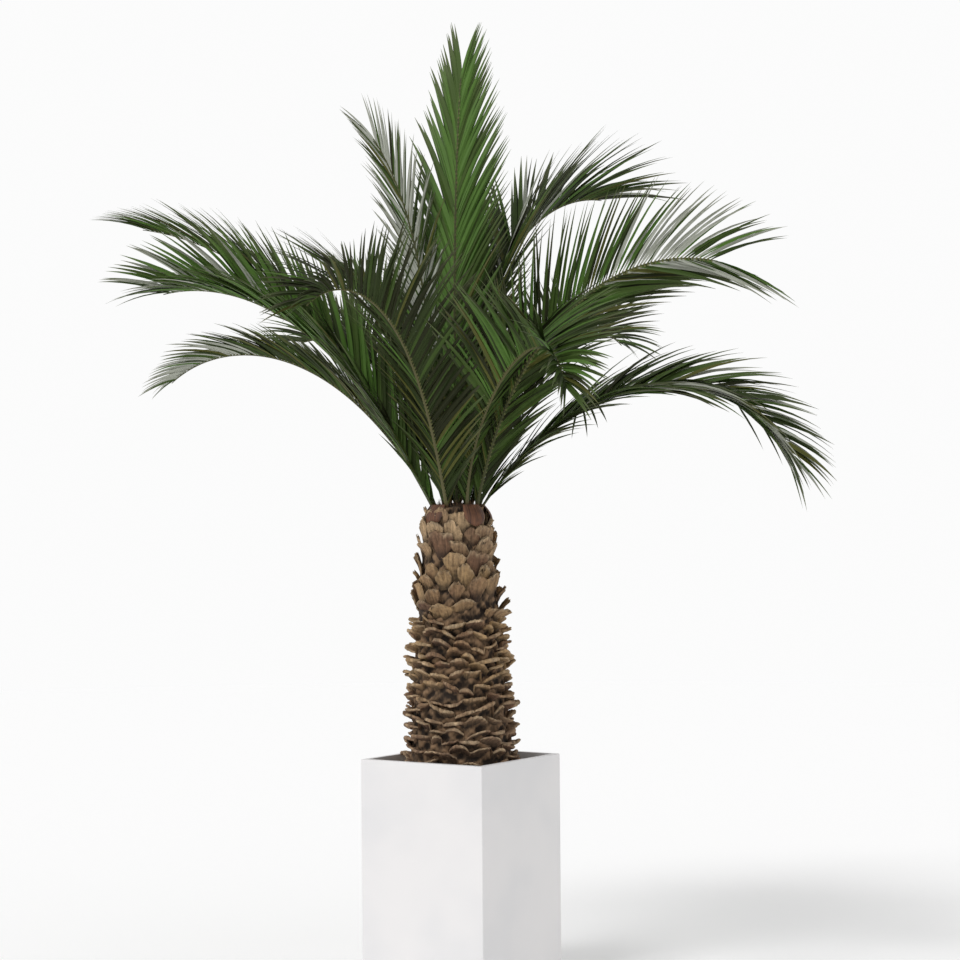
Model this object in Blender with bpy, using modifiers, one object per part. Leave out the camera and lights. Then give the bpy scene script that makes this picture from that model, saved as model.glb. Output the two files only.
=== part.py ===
"""Potted date palm tree for Blender 4.5.

A tall square planter holds a fill that carries one stout trunk, clad in rows of old leaf boots, and a
crown of arching feather fronds. Metres, +Z up. The origin is the centre of the planter's flat underside.
"""

import math
import random
from dataclasses import dataclass

import bmesh
import bpy
from mathutils import Vector
from mathutils.bvhtree import BVHTree

# Names of the collections
TREE_COLLECTION = "date_palm_tree"
CUTTER_COLLECTION = "cutters"

# Clearance that two touching pieces keep
SEAT_GAP = 0.0003

# Planter: a straight-sided square box, open at the top
PLANTER_SIDE = 0.50
PLANTER_HEIGHT = 0.80
PLANTER_WALL = 0.020
PLANTER_FLOOR = 0.025
PLANTER_EDGE = 0.003
EDGE_SEGMENTS = 2
CUT_OVERRUN = 0.02

# Fill: its level surface lies below the planter's rim
FILL_DROP = 0.055
FILL_TOP = PLANTER_HEIGHT - FILL_DROP

# Trunk: a tapering core from the fill to the flat cut under the crown
TRUNK_FOOT = FILL_TOP + SEAT_GAP
TRUNK_TOP = 1.667
TRUNK_FOOT_RADIUS = 0.176
TRUNK_WAIST_RADIUS = 0.152
TRUNK_TOP_RADIUS = 0.094
FLARE_HEIGHT = 0.13
TRUNK_TAPER_POWER = 1.9
TRUNK_LEAN = 0.008
LEAN_BEARING = 213.0

# Boots: old leaf bases in rows, each row turned half a boot from the row below
BOOTS_PER_ROW = 12
BOOT_POINTS = 4
SHELF_ROWS = 14
SCALE_ROWS = 5
SHELF_SHARE = 0.62
SHELF_REACH = 0.040
SCALE_REACH = 0.034
CROWN_REACH = 0.012
SHELF_RISE = 0.022
SCALE_RISE = 0.078
NOTCH_REACH_SHARE = 0.22
NOTCH_RISE_SHARE = 0.53
REACH_JITTER = 0.008
RISE_JITTER = 0.006
BOOT_SEED = 7

# Fronds: rib sizes, as shares of the frond's length where they lie along it
RIB_FOOT_WIDTH = 0.016
RIB_TIP_WIDTH = 0.005
RIB_TAPER_POWER = 1.3
RIB_DEPTH_RATIO = 0.55
STALK_SHARE = 0.035
STALK_RINGS = 4
RIB_END_SHARE = 0.86
CURVE_STEPS = 120

# Leaflets: pairs of narrow blades that stand out of the rib in a V
LEAFLET_PAIRS = 29
ROOT_SHARE = 0.44
LEAFLET_LENGTH = 0.42
LEAFLET_PEAK = 0.42
FIRST_LEAFLET = 0.42
LAST_LEAFLET = 0.56
SPREAD_AT_STALK = 56.0
SPREAD_LOSS = 14.0
SPREAD_CLOSING = 29.0
CLOSING_POWER = 4
FOOT_GATHER = 0.45
GATHER_REACH = 0.07
LIFT_AT_STALK = 28.0
LIFT_AT_TIP = 40.0
LEAFLET_JITTER = 4.0
LEAFLET_SEED = 23
SHORTENINGS = (1.0, 0.85, 0.7, 0.55, 0.42, 0.3)
LEAFLET_CLEARANCE = 0.0015


@dataclass(frozen=True)
class Frond:
    """One feather frond. Angles are in degrees and bearings are counted from +X towards +Y."""

    seat: float  # distance of the foot from the trunk's axis
    seat_bearing: float
    bearing: float  # direction of the rib in plan
    rise: float  # angle of the rib above the horizontal at its foot
    fall: float  # how far that angle has dropped by the tip
    arch: float  # 1 for an even drop, more where the drop comes late
    sweep: float  # change of bearing by the tip
    length: float
    roll: float = 0.0  # turn of the blade about its rib
    spread: float = 1.0  # share of the usual angle between leaflet and rib
    fold: float = 0.0  # how much steeper than usual the V of its leaflets is
    leaf: float = 1.0  # share of the usual leaflet length
    last: float = 1.0  # share of the usual length of the last leaflets
    closing: float = 1.0  # share of the usual closing of the leaflets towards the tip
    bend: float = 0.0  # share of the length where a strongly bent frond is divided


FRONDS = (
    Frond(0.000, 298, 294, 87, -21, 1.55, -8, 1.762, roll=4, spread=0.61, leaf=1.1, last=1.1,
          closing=0.7),
    Frond(0.036, 208, 221, 85, 48, 3.7, -1, 1.53, roll=82, spread=0.65, fold=5, leaf=0.95, last=1.15,
          closing=0.37),
    Frond(0.084, 207, 219, 61, 74, 2.15, -4, 1.68, roll=-14, spread=0.5, fold=-17, last=0.88,
          closing=1.2, bend=0.58),
    Frond(0.084, 233, 226, 60, 106, 2.3, 8, 1.49, roll=-44, spread=0.62, last=1.04, closing=0.32,
          bend=0.5),
    Frond(0.084, 180, 202, 57, 124, 1.8, -17, 1.475, roll=3, spread=0.52, fold=-10, leaf=0.75,
          last=0.92, closing=0.4, bend=0.46),
    Frond(0.080, 278, 282, 66, 136, 2.1, -12, 1.5, bend=0.5),
    Frond(0.050, 150, 150, 60, 58, 1.9, 0, 1.42, spread=0.7),
    Frond(0.050, 76, 83, 85, 128, 2.47, -19, 1.64, roll=-8, spread=0.98, fold=-16, leaf=1.16, last=1.42,
          closing=1.3, bend=0.58),
    Frond(0.080, 3, 355, 74, 109, 1.47, 3, 1.64, roll=115, spread=0.81, fold=-45, last=1.4,
          closing=0.54, bend=0.52),
    Frond(0.086, 28, 24, 53, 148, 1.56, -5, 1.53, roll=14, spread=0.92, fold=-36, leaf=1.07,
          closing=0.2, bend=0.48),
    Frond(0.072, 333, 338, 88, 146, 0.9, -32, 1.52, bend=0.48),
    Frond(0.086, 60, 88, 58, 122, 2.3, 0, 1.43, bend=0.56),
    Frond(0.086, 90, 101, 58, 115, 2.0, 0, 1.42, bend=0.54),
    Frond(0.086, 120, 121, 62, 118, 1.7, 0, 1.45, bend=0.5),
    Frond(0.086, 152, 165, 64, 96, 1.7, 0, 1.28, bend=0.5),
    Frond(0.036, 125, 125, 79, 98, 2.1, 0, 1.42, bend=0.56),
)

# Colours in linear light, roughness and metallic value of each material
WHITE_SHELL = ((0.80, 0.79, 0.79), 0.45, 0.0)
DARK_FILL = ((0.030, 0.022, 0.015), 0.95, 0.0)
BOOT_BROWN = ((0.19, 0.13, 0.085), 0.90, 0.0)
LEAF_GREEN = ((0.045, 0.11, 0.030), 0.55, 0.0)


def clear_scene():
    """Removes every object that the file starts with."""
    for found in list(bpy.data.objects):
        bpy.data.objects.remove(found, do_unlink=True)


def new_collection(name):
    """A collection linked to the scene."""
    collection = bpy.data.collections.new(name)
    bpy.context.scene.collection.children.link(collection)
    return collection


def new_material(name, finish):
    """A Principled material from a colour, a roughness and a metallic value."""
    colour, roughness, metallic = finish
    material = bpy.data.materials.new(name)
    material.use_nodes = True
    shader = material.node_tree.nodes["Principled BSDF"]
    shader.inputs["Base Color"].default_value = (*colour, 1.0)
    shader.inputs["Roughness"].default_value = roughness
    shader.inputs["Metallic"].default_value = metallic
    material.diffuse_color = (*colour, 1.0)
    return material


def new_object(name, mesh_builder, collection, material=None):
    """An object whose mesh is what the builder leaves in a bmesh."""
    mesh = bpy.data.meshes.new(name)
    surface = bmesh.new()
    mesh_builder(surface)
    bmesh.ops.recalc_face_normals(surface, faces=surface.faces)
    surface.to_mesh(mesh)
    surface.free()
    made = bpy.data.objects.new(name, mesh)
    if material:
        mesh.materials.append(material)
    collection.objects.link(made)
    return made


def add_box(name, side, foot, top, collection, material=None):
    """A square upright box on the Z axis from one height to another."""

    def build(surface):
        corners = bmesh.ops.create_cube(surface, size=1.0)["verts"]
        bmesh.ops.scale(surface, vec=(side, side, top - foot), verts=corners)

    made = new_object(name, build, collection, material)
    made.location = (0.0, 0.0, (foot + top) / 2)
    return made


def add_planter(tree, cutters):
    """The square planter: a box with softened edges, hollowed from above."""
    planter = add_box("planter", PLANTER_SIDE, 0.0, PLANTER_HEIGHT, tree,
                      new_material("planter", WHITE_SHELL))
    hollow = add_box("planter_hollow", PLANTER_SIDE - 2 * PLANTER_WALL, PLANTER_FLOOR,
                     PLANTER_HEIGHT + CUT_OVERRUN, cutters)
    hollow.hide_render = True
    hollow.display_type = "WIRE"
    edge = planter.modifiers.new("edge", "BEVEL")
    edge.width = PLANTER_EDGE
    edge.segments = EDGE_SEGMENTS
    cut = planter.modifiers.new("hollow", "BOOLEAN")
    cut.operation = "DIFFERENCE"
    cut.object = hollow


def add_fill(tree):
    """The fill: a block that sits on the planter's floor, clear of its walls."""
    side = PLANTER_SIDE - 2 * PLANTER_WALL - 2 * SEAT_GAP
    add_box("fill", side, PLANTER_FLOOR + SEAT_GAP, FILL_TOP, tree, new_material("fill", DARK_FILL))


def loft(surface, rings):
    """Closed body through rings of points that all have the same count.

    Returns the side faces, as one list for each pair of rings.
    """
    corners = [[surface.verts.new(point) for point in ring] for ring in rings]
    count = len(rings[0])
    sides = []
    for low, high in zip(corners, corners[1:]):
        sides.append([surface.faces.new((low[i], low[(i + 1) % count],
                                         high[(i + 1) % count], high[i])) for i in range(count)])
    surface.faces.new(reversed(corners[0]))
    surface.faces.new(corners[-1])
    return sides


def core_radius(height):
    """Radius of the trunk's core: a flare at the foot, then a taper that steepens to the top."""
    share = (height - TRUNK_FOOT) / (TRUNK_TOP - TRUNK_FOOT)
    taper = TRUNK_WAIST_RADIUS - (TRUNK_WAIST_RADIUS - TRUNK_TOP_RADIUS) * share ** TRUNK_TAPER_POWER
    flare = (TRUNK_FOOT_RADIUS - TRUNK_WAIST_RADIUS) * math.exp(-(height - TRUNK_FOOT) / FLARE_HEIGHT)
    return taper + flare


def trunk_centre(height):
    """The trunk's axis, which leans a little by the top."""
    share = (height - TRUNK_FOOT) / (TRUNK_TOP - TRUNK_FOOT)
    bearing = math.radians(LEAN_BEARING)
    return Vector((math.cos(bearing), math.sin(bearing), 0.0)) * TRUNK_LEAN * share


def boot_rows():
    """Height, reach and rise of each row of boots, from flat shelves up to upright scales."""
    span = TRUNK_TOP - TRUNK_FOOT
    shelf_pitch = span * SHELF_SHARE / SHELF_ROWS
    scale_pitch = span * (1 - SHELF_SHARE) / SCALE_ROWS
    rows = []
    for row in range(SHELF_ROWS):
        rows.append((TRUNK_FOOT + row * shelf_pitch, SHELF_REACH, SHELF_RISE))
    first_scale = TRUNK_FOOT + span * SHELF_SHARE
    for row in range(SCALE_ROWS - 1):
        rows.append((first_scale + row * scale_pitch, SCALE_REACH, SCALE_RISE))
    rows.append((TRUNK_TOP - scale_pitch, CROWN_REACH, scale_pitch - RISE_JITTER))
    return rows


def trunk_rings():
    """The trunk's rings: an inner ring at each row's root and an outer one along its boots' tips."""
    rolls = random.Random(BOOT_SEED)
    count = BOOTS_PER_ROW * BOOT_POINTS
    angles = [2 * math.pi * i / count for i in range(count)]

    def place(height, radii, lifts):
        centre = trunk_centre(height)
        return [centre + Vector((radius * math.cos(angle), radius * math.sin(angle), height + lift))
                for angle, radius, lift in zip(angles, radii, lifts)]

    rings = []
    level = [0.0] * count
    for row, (height, reach, rise) in enumerate(boot_rows()):
        rings.append(place(height, [core_radius(height)] * count, level))
        shift = (row % 2) * BOOT_POINTS // 2
        jitter = [(rolls.uniform(-REACH_JITTER, REACH_JITTER), rolls.uniform(-RISE_JITTER, RISE_JITTER))
                  for _ in range(BOOTS_PER_ROW)]
        radii, lifts = [], []
        for i in range(count):
            boot, point = divmod((i + shift) % count, BOOT_POINTS)
            if point < BOOT_POINTS // 2:
                radii.append(core_radius(height) + reach + jitter[boot][0])
                lifts.append(rise + jitter[boot][1])
            else:
                radii.append(core_radius(height) + reach * NOTCH_REACH_SHARE)
                lifts.append(rise * NOTCH_RISE_SHARE)
        rings.append(place(height, radii, lifts))
    rings.append(place(TRUNK_TOP, [TRUNK_TOP_RADIUS] * count, level))
    return rings


def add_trunk(tree):
    """The trunk with its boots, one closed body between two flat cuts."""
    new_object("trunk", lambda surface: loft(surface, trunk_rings()), tree,
               new_material("trunk", BOOT_BROWN))


@dataclass
class Station:
    """A place on a frond's rib with the directions along, across and out of it."""

    share: float
    centre: Vector
    along: Vector
    across: Vector
    upward: Vector


def frond_stations(frond, shares):
    """Stations at the given shares of the frond's length, along a rib that arches by its rule."""
    seat = math.radians(frond.seat_bearing)
    place = Vector((frond.seat * math.cos(seat), frond.seat * math.sin(seat), TRUNK_TOP + SEAT_GAP))
    place += trunk_centre(TRUNK_TOP)
    step = 1.0 / CURVE_STEPS
    points = [place.copy()]
    for index in range(CURVE_STEPS):
        place = place + rib_axes(frond, (index + 0.5) * step)[0] * frond.length * step
        points.append(place.copy())
    stations = []
    for share in shares:
        whole = min(int(share / step), CURVE_STEPS - 1)
        centre = points[whole].lerp(points[whole + 1], share / step - whole)
        stations.append(Station(share, centre, *rib_axes(frond, share)))
    return stations


def rib_axes(frond, share):
    """Directions along the rib, across it to the left, and out of its upper side."""
    pitch = math.radians(frond.rise - frond.fall * share ** frond.arch)
    turn = math.radians(frond.bearing + frond.sweep * share)
    roll = math.radians(frond.roll)
    along = Vector((math.cos(pitch) * math.cos(turn), math.cos(pitch) * math.sin(turn), math.sin(pitch)))
    level = Vector((-math.sin(turn), math.cos(turn), 0.0))
    rise = along.cross(level)
    across = level * math.cos(roll) + rise * math.sin(roll)
    upward = rise * math.cos(roll) - level * math.sin(roll)
    return along, across, upward


def rib_section(station):
    """The rib's three-sided section: a level underside and a ridge."""
    width = RIB_TIP_WIDTH + (RIB_FOOT_WIDTH - RIB_TIP_WIDTH) * (1 - station.share) ** RIB_TAPER_POWER
    depth = width * RIB_DEPTH_RATIO
    return [station.centre + station.across * width / 2 - station.upward * depth / 3,
            station.centre - station.across * width / 2 - station.upward * depth / 3,
            station.centre + station.upward * depth * 2 / 3]


def set_on_trunk(ring, along):
    """Slides a ring's corners along the rib until they lie level on the trunk's top."""
    level = TRUNK_TOP + SEAT_GAP
    return [point + along * ((level - point.z) / along.z) for point in ring]


def leaflet_shares():
    """Start and end of each leaflet's root, as shares of the frond's length."""
    pitch = (RIB_END_SHARE - STALK_SHARE) / LEAFLET_PAIRS
    return [(STALK_SHARE + i * pitch, STALK_SHARE + (i + ROOT_SHARE) * pitch) for i in range(LEAFLET_PAIRS)]


def between(start, end, share):
    """The value that lies a share of the way from start to end."""
    return start + (end - start) * share


def leaflet_length(frond, place):
    """Length of the leaflet at a place between stalk (0) and tip (1): longest near the middle."""
    longest = LEAFLET_LENGTH * frond.leaf
    if place < LEAFLET_PEAK:
        return longest * (1 - (1 - FIRST_LEAFLET) * (1 - place / LEAFLET_PEAK) ** 2)
    last = LAST_LEAFLET * frond.last
    return longest * (1 - (1 - last) * ((place - LEAFLET_PEAK) / (1 - LEAFLET_PEAK)) ** 2)


def leaflet_direction(frond, station, place, side, jitter):
    """Direction of a leaflet on the left (side 1) or right (side -1) of the rib."""
    closing = SPREAD_CLOSING * frond.closing * place ** CLOSING_POWER
    gathered = frond.spread * (1 - FOOT_GATHER * math.exp(-place / GATHER_REACH))
    spread = math.radians((SPREAD_AT_STALK - SPREAD_LOSS * place - closing) * gathered + jitter)
    lift = math.radians(between(LIFT_AT_STALK, LIFT_AT_TIP, place) + frond.fold + jitter)
    outward = station.across * side * math.cos(lift) + station.upward * math.sin(lift)
    return station.along * math.cos(spread) + outward * math.sin(spread)


@dataclass
class Body:
    """A placed rib piece or leaflet with its box. A rib piece belongs to no pair of leaflets."""

    frond: str
    pair: int | None
    points: list
    faces: list

    def __post_init__(self):
        self.low = [min(point[axis] for point in self.points) for axis in range(3)]
        self.high = [max(point[axis] for point in self.points) for axis in range(3)]
        self.tree = BVHTree.FromPolygons(self.points, self.faces)

    def grows_from(self, other):
        """Whether the two meet by design: a leaflet on its own rib or beside its own pair."""
        return self.frond == other.frond and other.pair in (None, self.pair)

    def crosses(self, other):
        """Whether the two surfaces meet."""
        apart = any(self.low[axis] > other.high[axis] or self.high[axis] < other.low[axis]
                    for axis in range(3))
        return not apart and bool(self.tree.overlap(other.tree))


def draw_out(surface, face, tip):
    """Pokes a face and pulls its new middle out to a tip."""
    middle = bmesh.ops.poke(surface, faces=[face])["verts"][0]
    middle.co = tip


def spear(root, tip, margin):
    """Points and faces of a leaflet from its four root corners to its tip, widened by a margin."""
    middle = sum(root, Vector()) / len(root)
    wide = [corner + (corner - middle).normalized() * margin for corner in root]
    points = wide + [tip + (tip - middle).normalized() * margin]
    return points, [(0, 1, 4), (1, 2, 4), (2, 3, 4), (3, 0, 4), (3, 2, 1, 0)]


class FrondModel:
    """A frond's rings and the tips of the leaflets that found room."""

    def __init__(self, name, frond):
        self.name = name
        self.frond = frond
        self.roots = leaflet_shares()
        stalk = [STALK_SHARE * i / STALK_RINGS for i in range(STALK_RINGS)]
        shares = stalk + [share for root in self.roots for share in root] + [RIB_END_SHARE]
        self.stations = frond_stations(frond, shares)
        self.rings = [rib_section(station) for station in self.stations]
        self.rings[0] = set_on_trunk(self.rings[0], self.stations[0].along)
        self.tips = {}

    def root_corners(self, pair, side):
        """The four corners of the rib's upper face that a leaflet stands on."""
        start = STALK_RINGS + 2 * pair
        edge = 0 if side > 0 else 1
        low, high = self.rings[start], self.rings[start + 1]
        return [low[edge], low[2], high[2], high[edge]]

    def rib_bodies(self):
        """The rib as pieces that the leaflets of the other fronds keep clear of."""
        faces = [(0, 1, 4, 3), (1, 2, 5, 4), (2, 0, 3, 5)]
        return [Body(self.name, None, [*low, *high], faces)
                for low, high in zip(self.rings, self.rings[1:])]

    def grow_leaflet(self, pair, side, jitter, bodies):
        """Adds a leaflet, shortened as far as it needs to clear the rest, or leaves it out."""
        place = pair / (LEAFLET_PAIRS - 1)
        station = self.stations[STALK_RINGS + 2 * pair]
        direction = leaflet_direction(self.frond, station, place, side, jitter)
        root = self.root_corners(pair, side)
        middle = sum(root, Vector()) / len(root)
        for shortening in SHORTENINGS:
            tip = middle + direction * leaflet_length(self.frond, place) * shortening
            leaflet = Body(self.name, pair, *spear(root, tip, LEAFLET_CLEARANCE))
            if not any(leaflet.crosses(other) for other in bodies if not leaflet.grows_from(other)):
                bodies.append(leaflet)
                self.tips[pair, side] = tip
                return

    def build(self, first_ring, last_ring, surface):
        """Lofts the rib between two rings and draws its leaflets out of its upper faces."""
        rings = [list(ring) for ring in self.rings[first_ring:last_ring + 1]]
        if first_ring:
            start = self.stations[first_ring]
            rings[0] = [point + start.along * SEAT_GAP for point in rings[0]]
        sides = loft(surface, rings)
        for (pair, side), tip in self.tips.items():
            start = STALK_RINGS + 2 * pair
            if first_ring <= start < last_ring:
                draw_out(surface, sides[start - first_ring][2 if side > 0 else 1], tip)

    def add_nodes(self, tree, material):
        """The frond as one node, or as two where it bends round a wide gap."""
        last = len(self.rings) - 1
        if not self.frond.bend:
            new_object(self.name, lambda surface: self.build(0, last, surface), tree, material)
            return
        split = next(STALK_RINGS + 2 * pair for pair, root in enumerate(self.roots)
                     if root[0] >= self.frond.bend)
        new_object(self.name + "_base", lambda surface: self.build(0, split, surface), tree, material)
        new_object(self.name + "_tip", lambda surface: self.build(split, last, surface), tree, material)


def add_fronds(tree):
    """All fronds. Leaflets are placed pair by pair from the tips inwards, each clear of the rest."""
    models = [FrondModel(f"frond_{number:02d}", frond) for number, frond in enumerate(FRONDS, 1)]
    bodies = [body for model in models for body in model.rib_bodies()]
    rolls = random.Random(LEAFLET_SEED)
    for pair in reversed(range(LEAFLET_PAIRS)):
        for model in models:
            for side in (1, -1):
                model.grow_leaflet(pair, side, rolls.uniform(-LEAFLET_JITTER, LEAFLET_JITTER), bodies)
    for model in models:
        model.add_nodes(tree, new_material(model.name, LEAF_GREEN))


def main():
    """Builds the whole tree."""
    clear_scene()
    tree = new_collection(TREE_COLLECTION)
    cutters = new_collection(CUTTER_COLLECTION)
    add_planter(tree, cutters)
    add_fill(tree)
    add_trunk(tree)
    add_fronds(tree)


main()
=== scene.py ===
"""Looks of the potted date palm tree.

A white square planter holds a bed of dark soil and one stout trunk. The trunk is clad in old leaf boots:
thin ragged shelves below and broad upright scales above. Arching feather fronds stand on its top. Lengths
are in metres, angles in degrees where a name says so, +Z is up, and the origin is the centre of the
planter's underside.
"""

import sys
import logging
import math
from dataclasses import dataclass, field, replace
from enum import Enum

import bpy
import numpy as np
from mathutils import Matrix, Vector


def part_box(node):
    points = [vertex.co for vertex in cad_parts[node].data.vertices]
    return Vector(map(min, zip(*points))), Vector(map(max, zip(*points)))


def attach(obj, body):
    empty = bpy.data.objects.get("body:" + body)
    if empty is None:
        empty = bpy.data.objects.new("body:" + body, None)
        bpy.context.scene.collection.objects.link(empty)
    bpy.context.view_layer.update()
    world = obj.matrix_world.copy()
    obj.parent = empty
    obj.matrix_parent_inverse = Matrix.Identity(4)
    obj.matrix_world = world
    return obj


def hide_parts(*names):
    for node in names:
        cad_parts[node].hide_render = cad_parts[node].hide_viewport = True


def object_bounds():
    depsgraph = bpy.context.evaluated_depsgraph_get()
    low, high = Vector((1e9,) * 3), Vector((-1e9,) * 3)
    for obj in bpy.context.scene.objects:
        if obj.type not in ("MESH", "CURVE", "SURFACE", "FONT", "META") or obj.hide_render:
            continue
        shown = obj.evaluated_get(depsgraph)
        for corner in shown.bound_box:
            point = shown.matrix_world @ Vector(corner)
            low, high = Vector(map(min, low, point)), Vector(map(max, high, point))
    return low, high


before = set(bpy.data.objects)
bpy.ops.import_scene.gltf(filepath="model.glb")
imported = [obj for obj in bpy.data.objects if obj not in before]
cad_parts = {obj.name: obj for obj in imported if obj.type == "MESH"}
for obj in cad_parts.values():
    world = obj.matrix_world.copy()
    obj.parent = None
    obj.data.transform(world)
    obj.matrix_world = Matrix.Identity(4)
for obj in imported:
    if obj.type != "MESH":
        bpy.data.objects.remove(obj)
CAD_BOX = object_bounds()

LOG = logging.getLogger("date_palm")
BODY = "root"

Array = np.ndarray
Colour = tuple[float, float, float]
UP = np.array([0.0, 0.0, 1.0])
TURN = 2 * math.pi
# How far one boot's pattern lies from the next one's
PATTERN_STEP = 0.37


# ---------------------------------------------------------------- small sums


def linear(red: int, green: int, blue: int) -> Colour:
    """A colour in linear light from its screen values of 0 to 255."""
    return tuple(((value / 255 + 0.055) / 1.055) ** 2.4 for value in (red, green, blue))


def blend(start: float | Array, end: float | Array, share: float | Array) -> float | Array:
    """The value that lies a share of the way from start to end."""
    return start + (end - start) * share


def smooth_step(value: float | Array) -> float | Array:
    """0 below 0, 1 above 1, and a smooth rise between them."""
    held = np.clip(value, 0.0, 1.0)
    return held * held * (3 - 2 * held)


def unit(vectors: Array) -> Array:
    """Vectors brought to length one."""
    return vectors / np.linalg.norm(vectors, axis=-1, keepdims=True)


def square_to(vectors: Array, axes: Array) -> Array:
    """What is left of vectors once their part along unit axes is taken away, at length one."""
    return unit(vectors - np.sum(vectors * axes, axis=-1, keepdims=True) * axes)


def together(first: float | Array, second: float | Array) -> Array:
    """Two values side by side in a last axis, each spread over the other's shape."""
    return np.stack(np.broadcast_arrays(first, second), axis=-1)


def slab_ring(width: int) -> tuple[Array, Array]:
    """The ring round a flat slab: along its front from one side to the other, and back along its rear.

    Args:
        width: points along the front. The rear has two fewer.

    Returns:
        The place across, from -1 to 1, and 1 in front or -1 behind, both shaped for (slabs, rings, points).
    """
    across = np.linspace(-1, 1, width)
    side = np.concatenate([across[::-1], across[1:-1]])
    face = np.concatenate([np.ones(width), -np.ones(width - 2)])
    return side[None, None, :], face[None, None, :]


def ripple(across: Array, along: Array, rolls: np.random.Generator, turns: int, pitch: float,
           waves: int = 18) -> Array:
    """Uneven relief of about -1 to 1 that closes on itself across.

    It is the sum of cosines, each with a random whole number of turns across, a random pitch along and a
    random start.

    Args:
        across: angle round the surface, in radians.
        along: distance along it.
        rolls: source of the random numbers.
        turns: most whole turns of a wave across.
        pitch: shortest wave along.
        waves: number of cosines.

    Returns:
        The relief at each place.
    """
    total = np.zeros(np.broadcast(across, along).shape)
    for _ in range(waves):
        whole = int(rolls.integers(-turns, turns + 1))
        rate = rolls.uniform(0.1, 1.0) * TURN / pitch
        total += np.cos(whole * across + rate * along + rolls.uniform(0, TURN))
    return total / math.sqrt(waves)


# ---------------------------------------------------------------- meshes


class Surface:
    """Points and faces that one piece is put together from, with marks that its finish reads."""

    def __init__(self) -> None:
        """Starts empty."""
        self.points: list[Array] = []
        self.pattern: list[Array] = []
        self.faces: list[Array] = []
        self.marks: dict[str, list[Array]] = {}
        self.count = 0

    def add(self, points: Array, pattern: Array, faces: list[Array], **marks: Array) -> "Surface":
        """Adds a shape.

        Args:
            points: places, with the three coordinates last.
            pattern: the two pattern coordinates of each point.
            faces: arrays of corner numbers, one row a face, counted within this shape.
            marks: one number a point under each name.

        Returns:
            The surface itself.
        """
        flat = points.reshape(-1, 3)
        self.points.append(flat)
        self.pattern.append(np.broadcast_to(pattern, points.shape[:-1] + (2,)).reshape(-1, 2))
        self.faces += [face + self.count for face in faces]
        for name, values in marks.items():
            self.marks.setdefault(name, []).append(np.broadcast_to(values, points.shape[:-1]).ravel())
        self.count += len(flat)
        return self

    def piece(self, name: str, material: bpy.types.Material, slot: str, nodes: list[str],
              crease: float = 30.0) -> None:
        """Makes the piece and hangs it on the frame.

        Args:
            name: the piece's name.
            material: its finish.
            slot: the name of the record's slot for the finish; not used.
            nodes: CAD nodes that it stands for.
            crease: angle between faces, in degrees, past which an edge stays sharp.
        """
        points = np.concatenate(self.points)
        pattern = np.concatenate(self.pattern)
        corners = np.concatenate([face.ravel() for face in self.faces]).astype(np.int32)
        sizes = np.concatenate([np.full(len(face), face.shape[1]) for face in self.faces])
        starts = np.concatenate([[0], np.cumsum(sizes)[:-1]]).astype(np.int32)
        mesh = bpy.data.meshes.new(name)
        mesh.vertices.add(len(points))
        mesh.vertices.foreach_set("co", points.astype(np.float32).ravel())
        mesh.loops.add(len(corners))
        mesh.loops.foreach_set("vertex_index", corners)
        mesh.polygons.add(len(sizes))
        mesh.polygons.foreach_set("loop_start", starts)
        mesh.uv_layers.new(name="pattern").data.foreach_set("uv", pattern[corners].astype(np.float32).ravel())
        for mark, values in self.marks.items():
            layer = mesh.attributes.new(mark, "FLOAT", "POINT")
            layer.data.foreach_set("value", np.concatenate(values).astype(np.float32))
        mesh.update(calc_edges=True)
        mesh.shade_smooth()
        mesh.set_sharp_from_angle(angle=math.radians(crease))
        mesh.materials.append(material)
        made = bpy.data.objects.new(name, mesh)
        bpy.context.scene.collection.objects.link(made)
        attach(made, BODY)
        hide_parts(*nodes)
        LOG.info("%s: %d points, %d triangles", name, len(points), int(np.sum(sizes - 2)))


def side_faces(shapes: int, rings: int, sides: int, looped: bool = False) -> Array:
    """Faces between neighbouring rings of many equal tubes.

    They face outwards where each ring runs anticlockwise, seen from the end of its path.

    Args:
        shapes: number of tubes.
        rings: rings in each.
        sides: points in each ring.
        looped: whether the last ring joins the first.

    Returns:
        Rows of four corner numbers.
    """
    steps = rings if looped else rings - 1
    shape, ring, side = np.meshgrid(np.arange(shapes), np.arange(steps), np.arange(sides), indexing="ij")
    here = (shape * rings + ring) * sides
    there = (shape * rings + (ring + 1) % rings) * sides
    beside = (side + 1) % sides
    return np.stack([here + side, here + beside, there + beside, there + side], axis=-1).reshape(-1, 4)


def end_faces(shapes: int, rings: int, sides: int) -> list[Array]:
    """The end faces of many equal tubes.

    Args:
        shapes: number of tubes.
        rings: rings in each.
        sides: points in each ring.

    Returns:
        Rows of corner numbers: one face over each tube's first ring, and one over its last ring.
    """
    start = np.arange(shapes)[:, None] * rings * sides
    ring = np.arange(sides)[None, :]
    return [start + ring[:, ::-1], start + (rings - 1) * sides + ring]


def tube_faces(shapes: int, rings: int, sides: int) -> list[Array]:
    """All faces of many equal closed tubes."""
    return [side_faces(shapes, rings, sides), *end_faces(shapes, rings, sides)]


# ---------------------------------------------------------------- finishes


@dataclass(frozen=True)
class Grain:
    """A noise: its waves a metre along each axis, its detail, and whether it follows the piece's pattern."""

    waves: tuple[float, float, float]
    detail: float = 2.0
    on_pattern: bool = False

    @classmethod
    def even(cls, waves: float, detail: float = 2.0) -> "Grain":
        """A noise that is alike along each axis."""
        return cls((waves, waves, waves), detail)


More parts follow.
